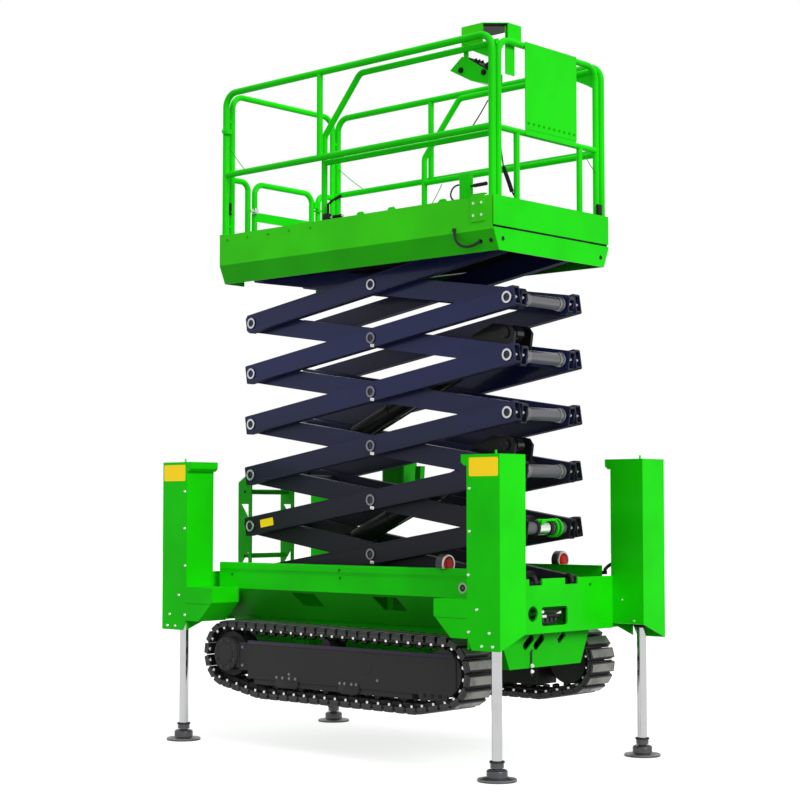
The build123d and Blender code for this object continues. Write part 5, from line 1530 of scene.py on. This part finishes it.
def model_cabinet_back():
    """The cabinet's back panel towards the machine, with a pressed frame."""
    panel = add_block(DOOR_X, (556, 560), DOOR_Z)
    return round_edges(push_faces(panel, looking(RIGHT), (0, 1.6, 0), 12), 0.8)


def model_cabinet_latch():
    """The turning latch of the cabinet's door, and its two hinges."""
    latch = push_faces(add_rod((-556, 701, 1620), LEFT, 13, 10), looking(LEFT), (0, 6, 0), 5)
    hinges = [add_rod((DOOR_X[0], 697, z), UP, 6, 44, 12) for z in (1520, 1715)]
    return join([latch, *[round_edges(hinge, 1) for hinge in hinges]])


def model_rung_grips():
    """Ribbed sleeves on the ladder's rungs."""
    grips = []
    for z in RUNG_LEVELS:
        grips.append(add_ring((LADDER_X, 0, z), LEFT, 15.5, 13.2, 330, 20))
        grips += [add_ring((LADDER_X, -156 + 24 * i, z), LEFT, 17, 15, 8, 20) for i in range(14)]
    return join(grips)


def model_foot_collar(x, y):
    """The rubber collar where a leg meets its foot."""
    return round_edges(add_ring((x, y, 104), UP, 42, 29.5, 10), 3, 2, past(UP, 108))


def model_foot_hub(x, y):
    """The stepped hub of a foot."""
    hub = round_edges(add_rod((x, y, 41), UP, 58, 34, 40), 5, 3, past(UP, 57))
    return push_faces(hub, looking(UP), (0, 0, 3), 14)


# The cabinet, ladder bolts and rung grips take the ladder's darker green: painted shade.
finish_piece(model_cabinet_door(), "cabinet_door", "chassis", "deep_green_paint", "ladder_shade_green")
finish_piece(model_cabinet_back(), "cabinet_back", "chassis", "deep_green_paint", "ladder_shade_green")
finish_piece(model_cabinet_latch(), "cabinet_latch", "chassis", "dark_steel")
spots = [outward((LADDER_X, side * LADDER_INNER_FACE, z)) for side, _ in SIDES for z in RUNG_LEVELS]
finish_piece(copies(hex_bolt(10, 6), spots), "ladder_bolts", "chassis", "deep_green_paint", "ladder_shade_green")
finish_piece(model_rung_grips(), "rung_grips", "chassis", "deep_green_paint", "ladder_shade_green")
for end, side, corner in CORNERS:
    x, y = end * LEG_X, side * LEG_Y
    leg = f"leg_{corner}"
    finish_piece(model_foot_collar(x, y), f"foot_collar_{corner}", leg, "dark_steel", "hose_rubber")
    finish_piece(model_foot_hub(x, y), f"foot_hub_{corner}", leg, "dark_steel", "foot_steel")
    # A lighter ring round the top edge of each foot: painted highlight.
    rim = round_edges(add_ring((x, y, 11), UP, 107, 98, 5, 48), 1.5)
    finish_piece(rim, f"foot_rim_{corner}", leg, "dark_steel", "foot_rim_steel")


# ---------------------------------------------------------------------------
# Floor, light and camera
# ---------------------------------------------------------------------------
def seen_directly(tree):
    """1 for what the camera, a mirror or a glass pane sees, 0 for light that spreads."""
    path = tree.nodes.new("ShaderNodeLightPath")
    mask = add_math(tree, "MAXIMUM", path.outputs["Is Camera Ray"], path.outputs["Is Glossy Ray"])
    return add_math(tree, "MAXIMUM", mask, path.outputs["Is Transmission Ray"])


def make_floor():
    """A plain pale floor that keeps a faint shadow."""
    let_go()
    bpy.ops.mesh.primitive_plane_add(size=80, location=(0, 0, 0))
    floor = bpy.context.object
    floor.name = "studio_floor"
    finish = bpy.data.materials.new("studio_floor")
    finish.use_nodes = True
    tree = finish.node_tree
    shader = tree.nodes["Principled BSDF"]
    mask = seen_directly(tree)
    shader.inputs["Roughness"].default_value = 1.0
    shader.inputs["Specular IOR Level"].default_value = 0.0
    colour = add_blend(tree, mask, (0.30, 0.30, 0.30, 1), (0.5, 0.5, 0.5, 1))
    tree.links.new(colour, shader.inputs["Base Color"])
    glow = add_blend(tree, mask, (0, 0, 0, 1), (0.75, 0.75, 0.75, 1))
    tree.links.new(glow, shader.inputs["Emission Color"])
    shader.inputs["Emission Strength"].default_value = 1.0
    floor.data.materials.append(finish)


def make_light():
    """An even pale sky and one wide, soft key lamp from the front."""
    world = bpy.data.worlds.new("studio_sky")
    bpy.context.scene.world = world
    world.use_nodes = True
    tree = world.node_tree
    sky = tree.nodes["Background"]
    level = add_range(tree, seen_directly(tree), 0.0, 1.0, 0.70, 1.0)
    tree.links.new(level, sky.inputs["Strength"])
    sky.inputs["Color"].default_value = (1, 1, 1, 1)
    lamp = bpy.data.objects.new("key_lamp", bpy.data.lights.new("key_lamp", "SUN"))
    lamp.data.energy = 1.7
    lamp.data.angle = 0.5
    lamp.rotation_euler = Vector((0.85, -0.15, 0.5)).to_track_quat("Z", "Y").to_euler()
    bpy.context.scene.collection.objects.link(lamp)


def make_camera():
    """The camera stands low, off the front right corner."""
    camera = bpy.data.objects.new("camera", bpy.data.cameras.new("camera"))
    camera.data.sensor_width = 36
    camera.data.lens = 80.4
    camera.location = (7.490, -8.184, 1.461)
    camera.rotation_euler = (math.radians(93.5), 0, math.radians(42.63))
    bpy.context.scene.collection.objects.link(camera)
    bpy.context.scene.camera = camera


make_floor()
make_light()
make_camera()
bpy.context.scene.view_settings.view_transform = "Standard"
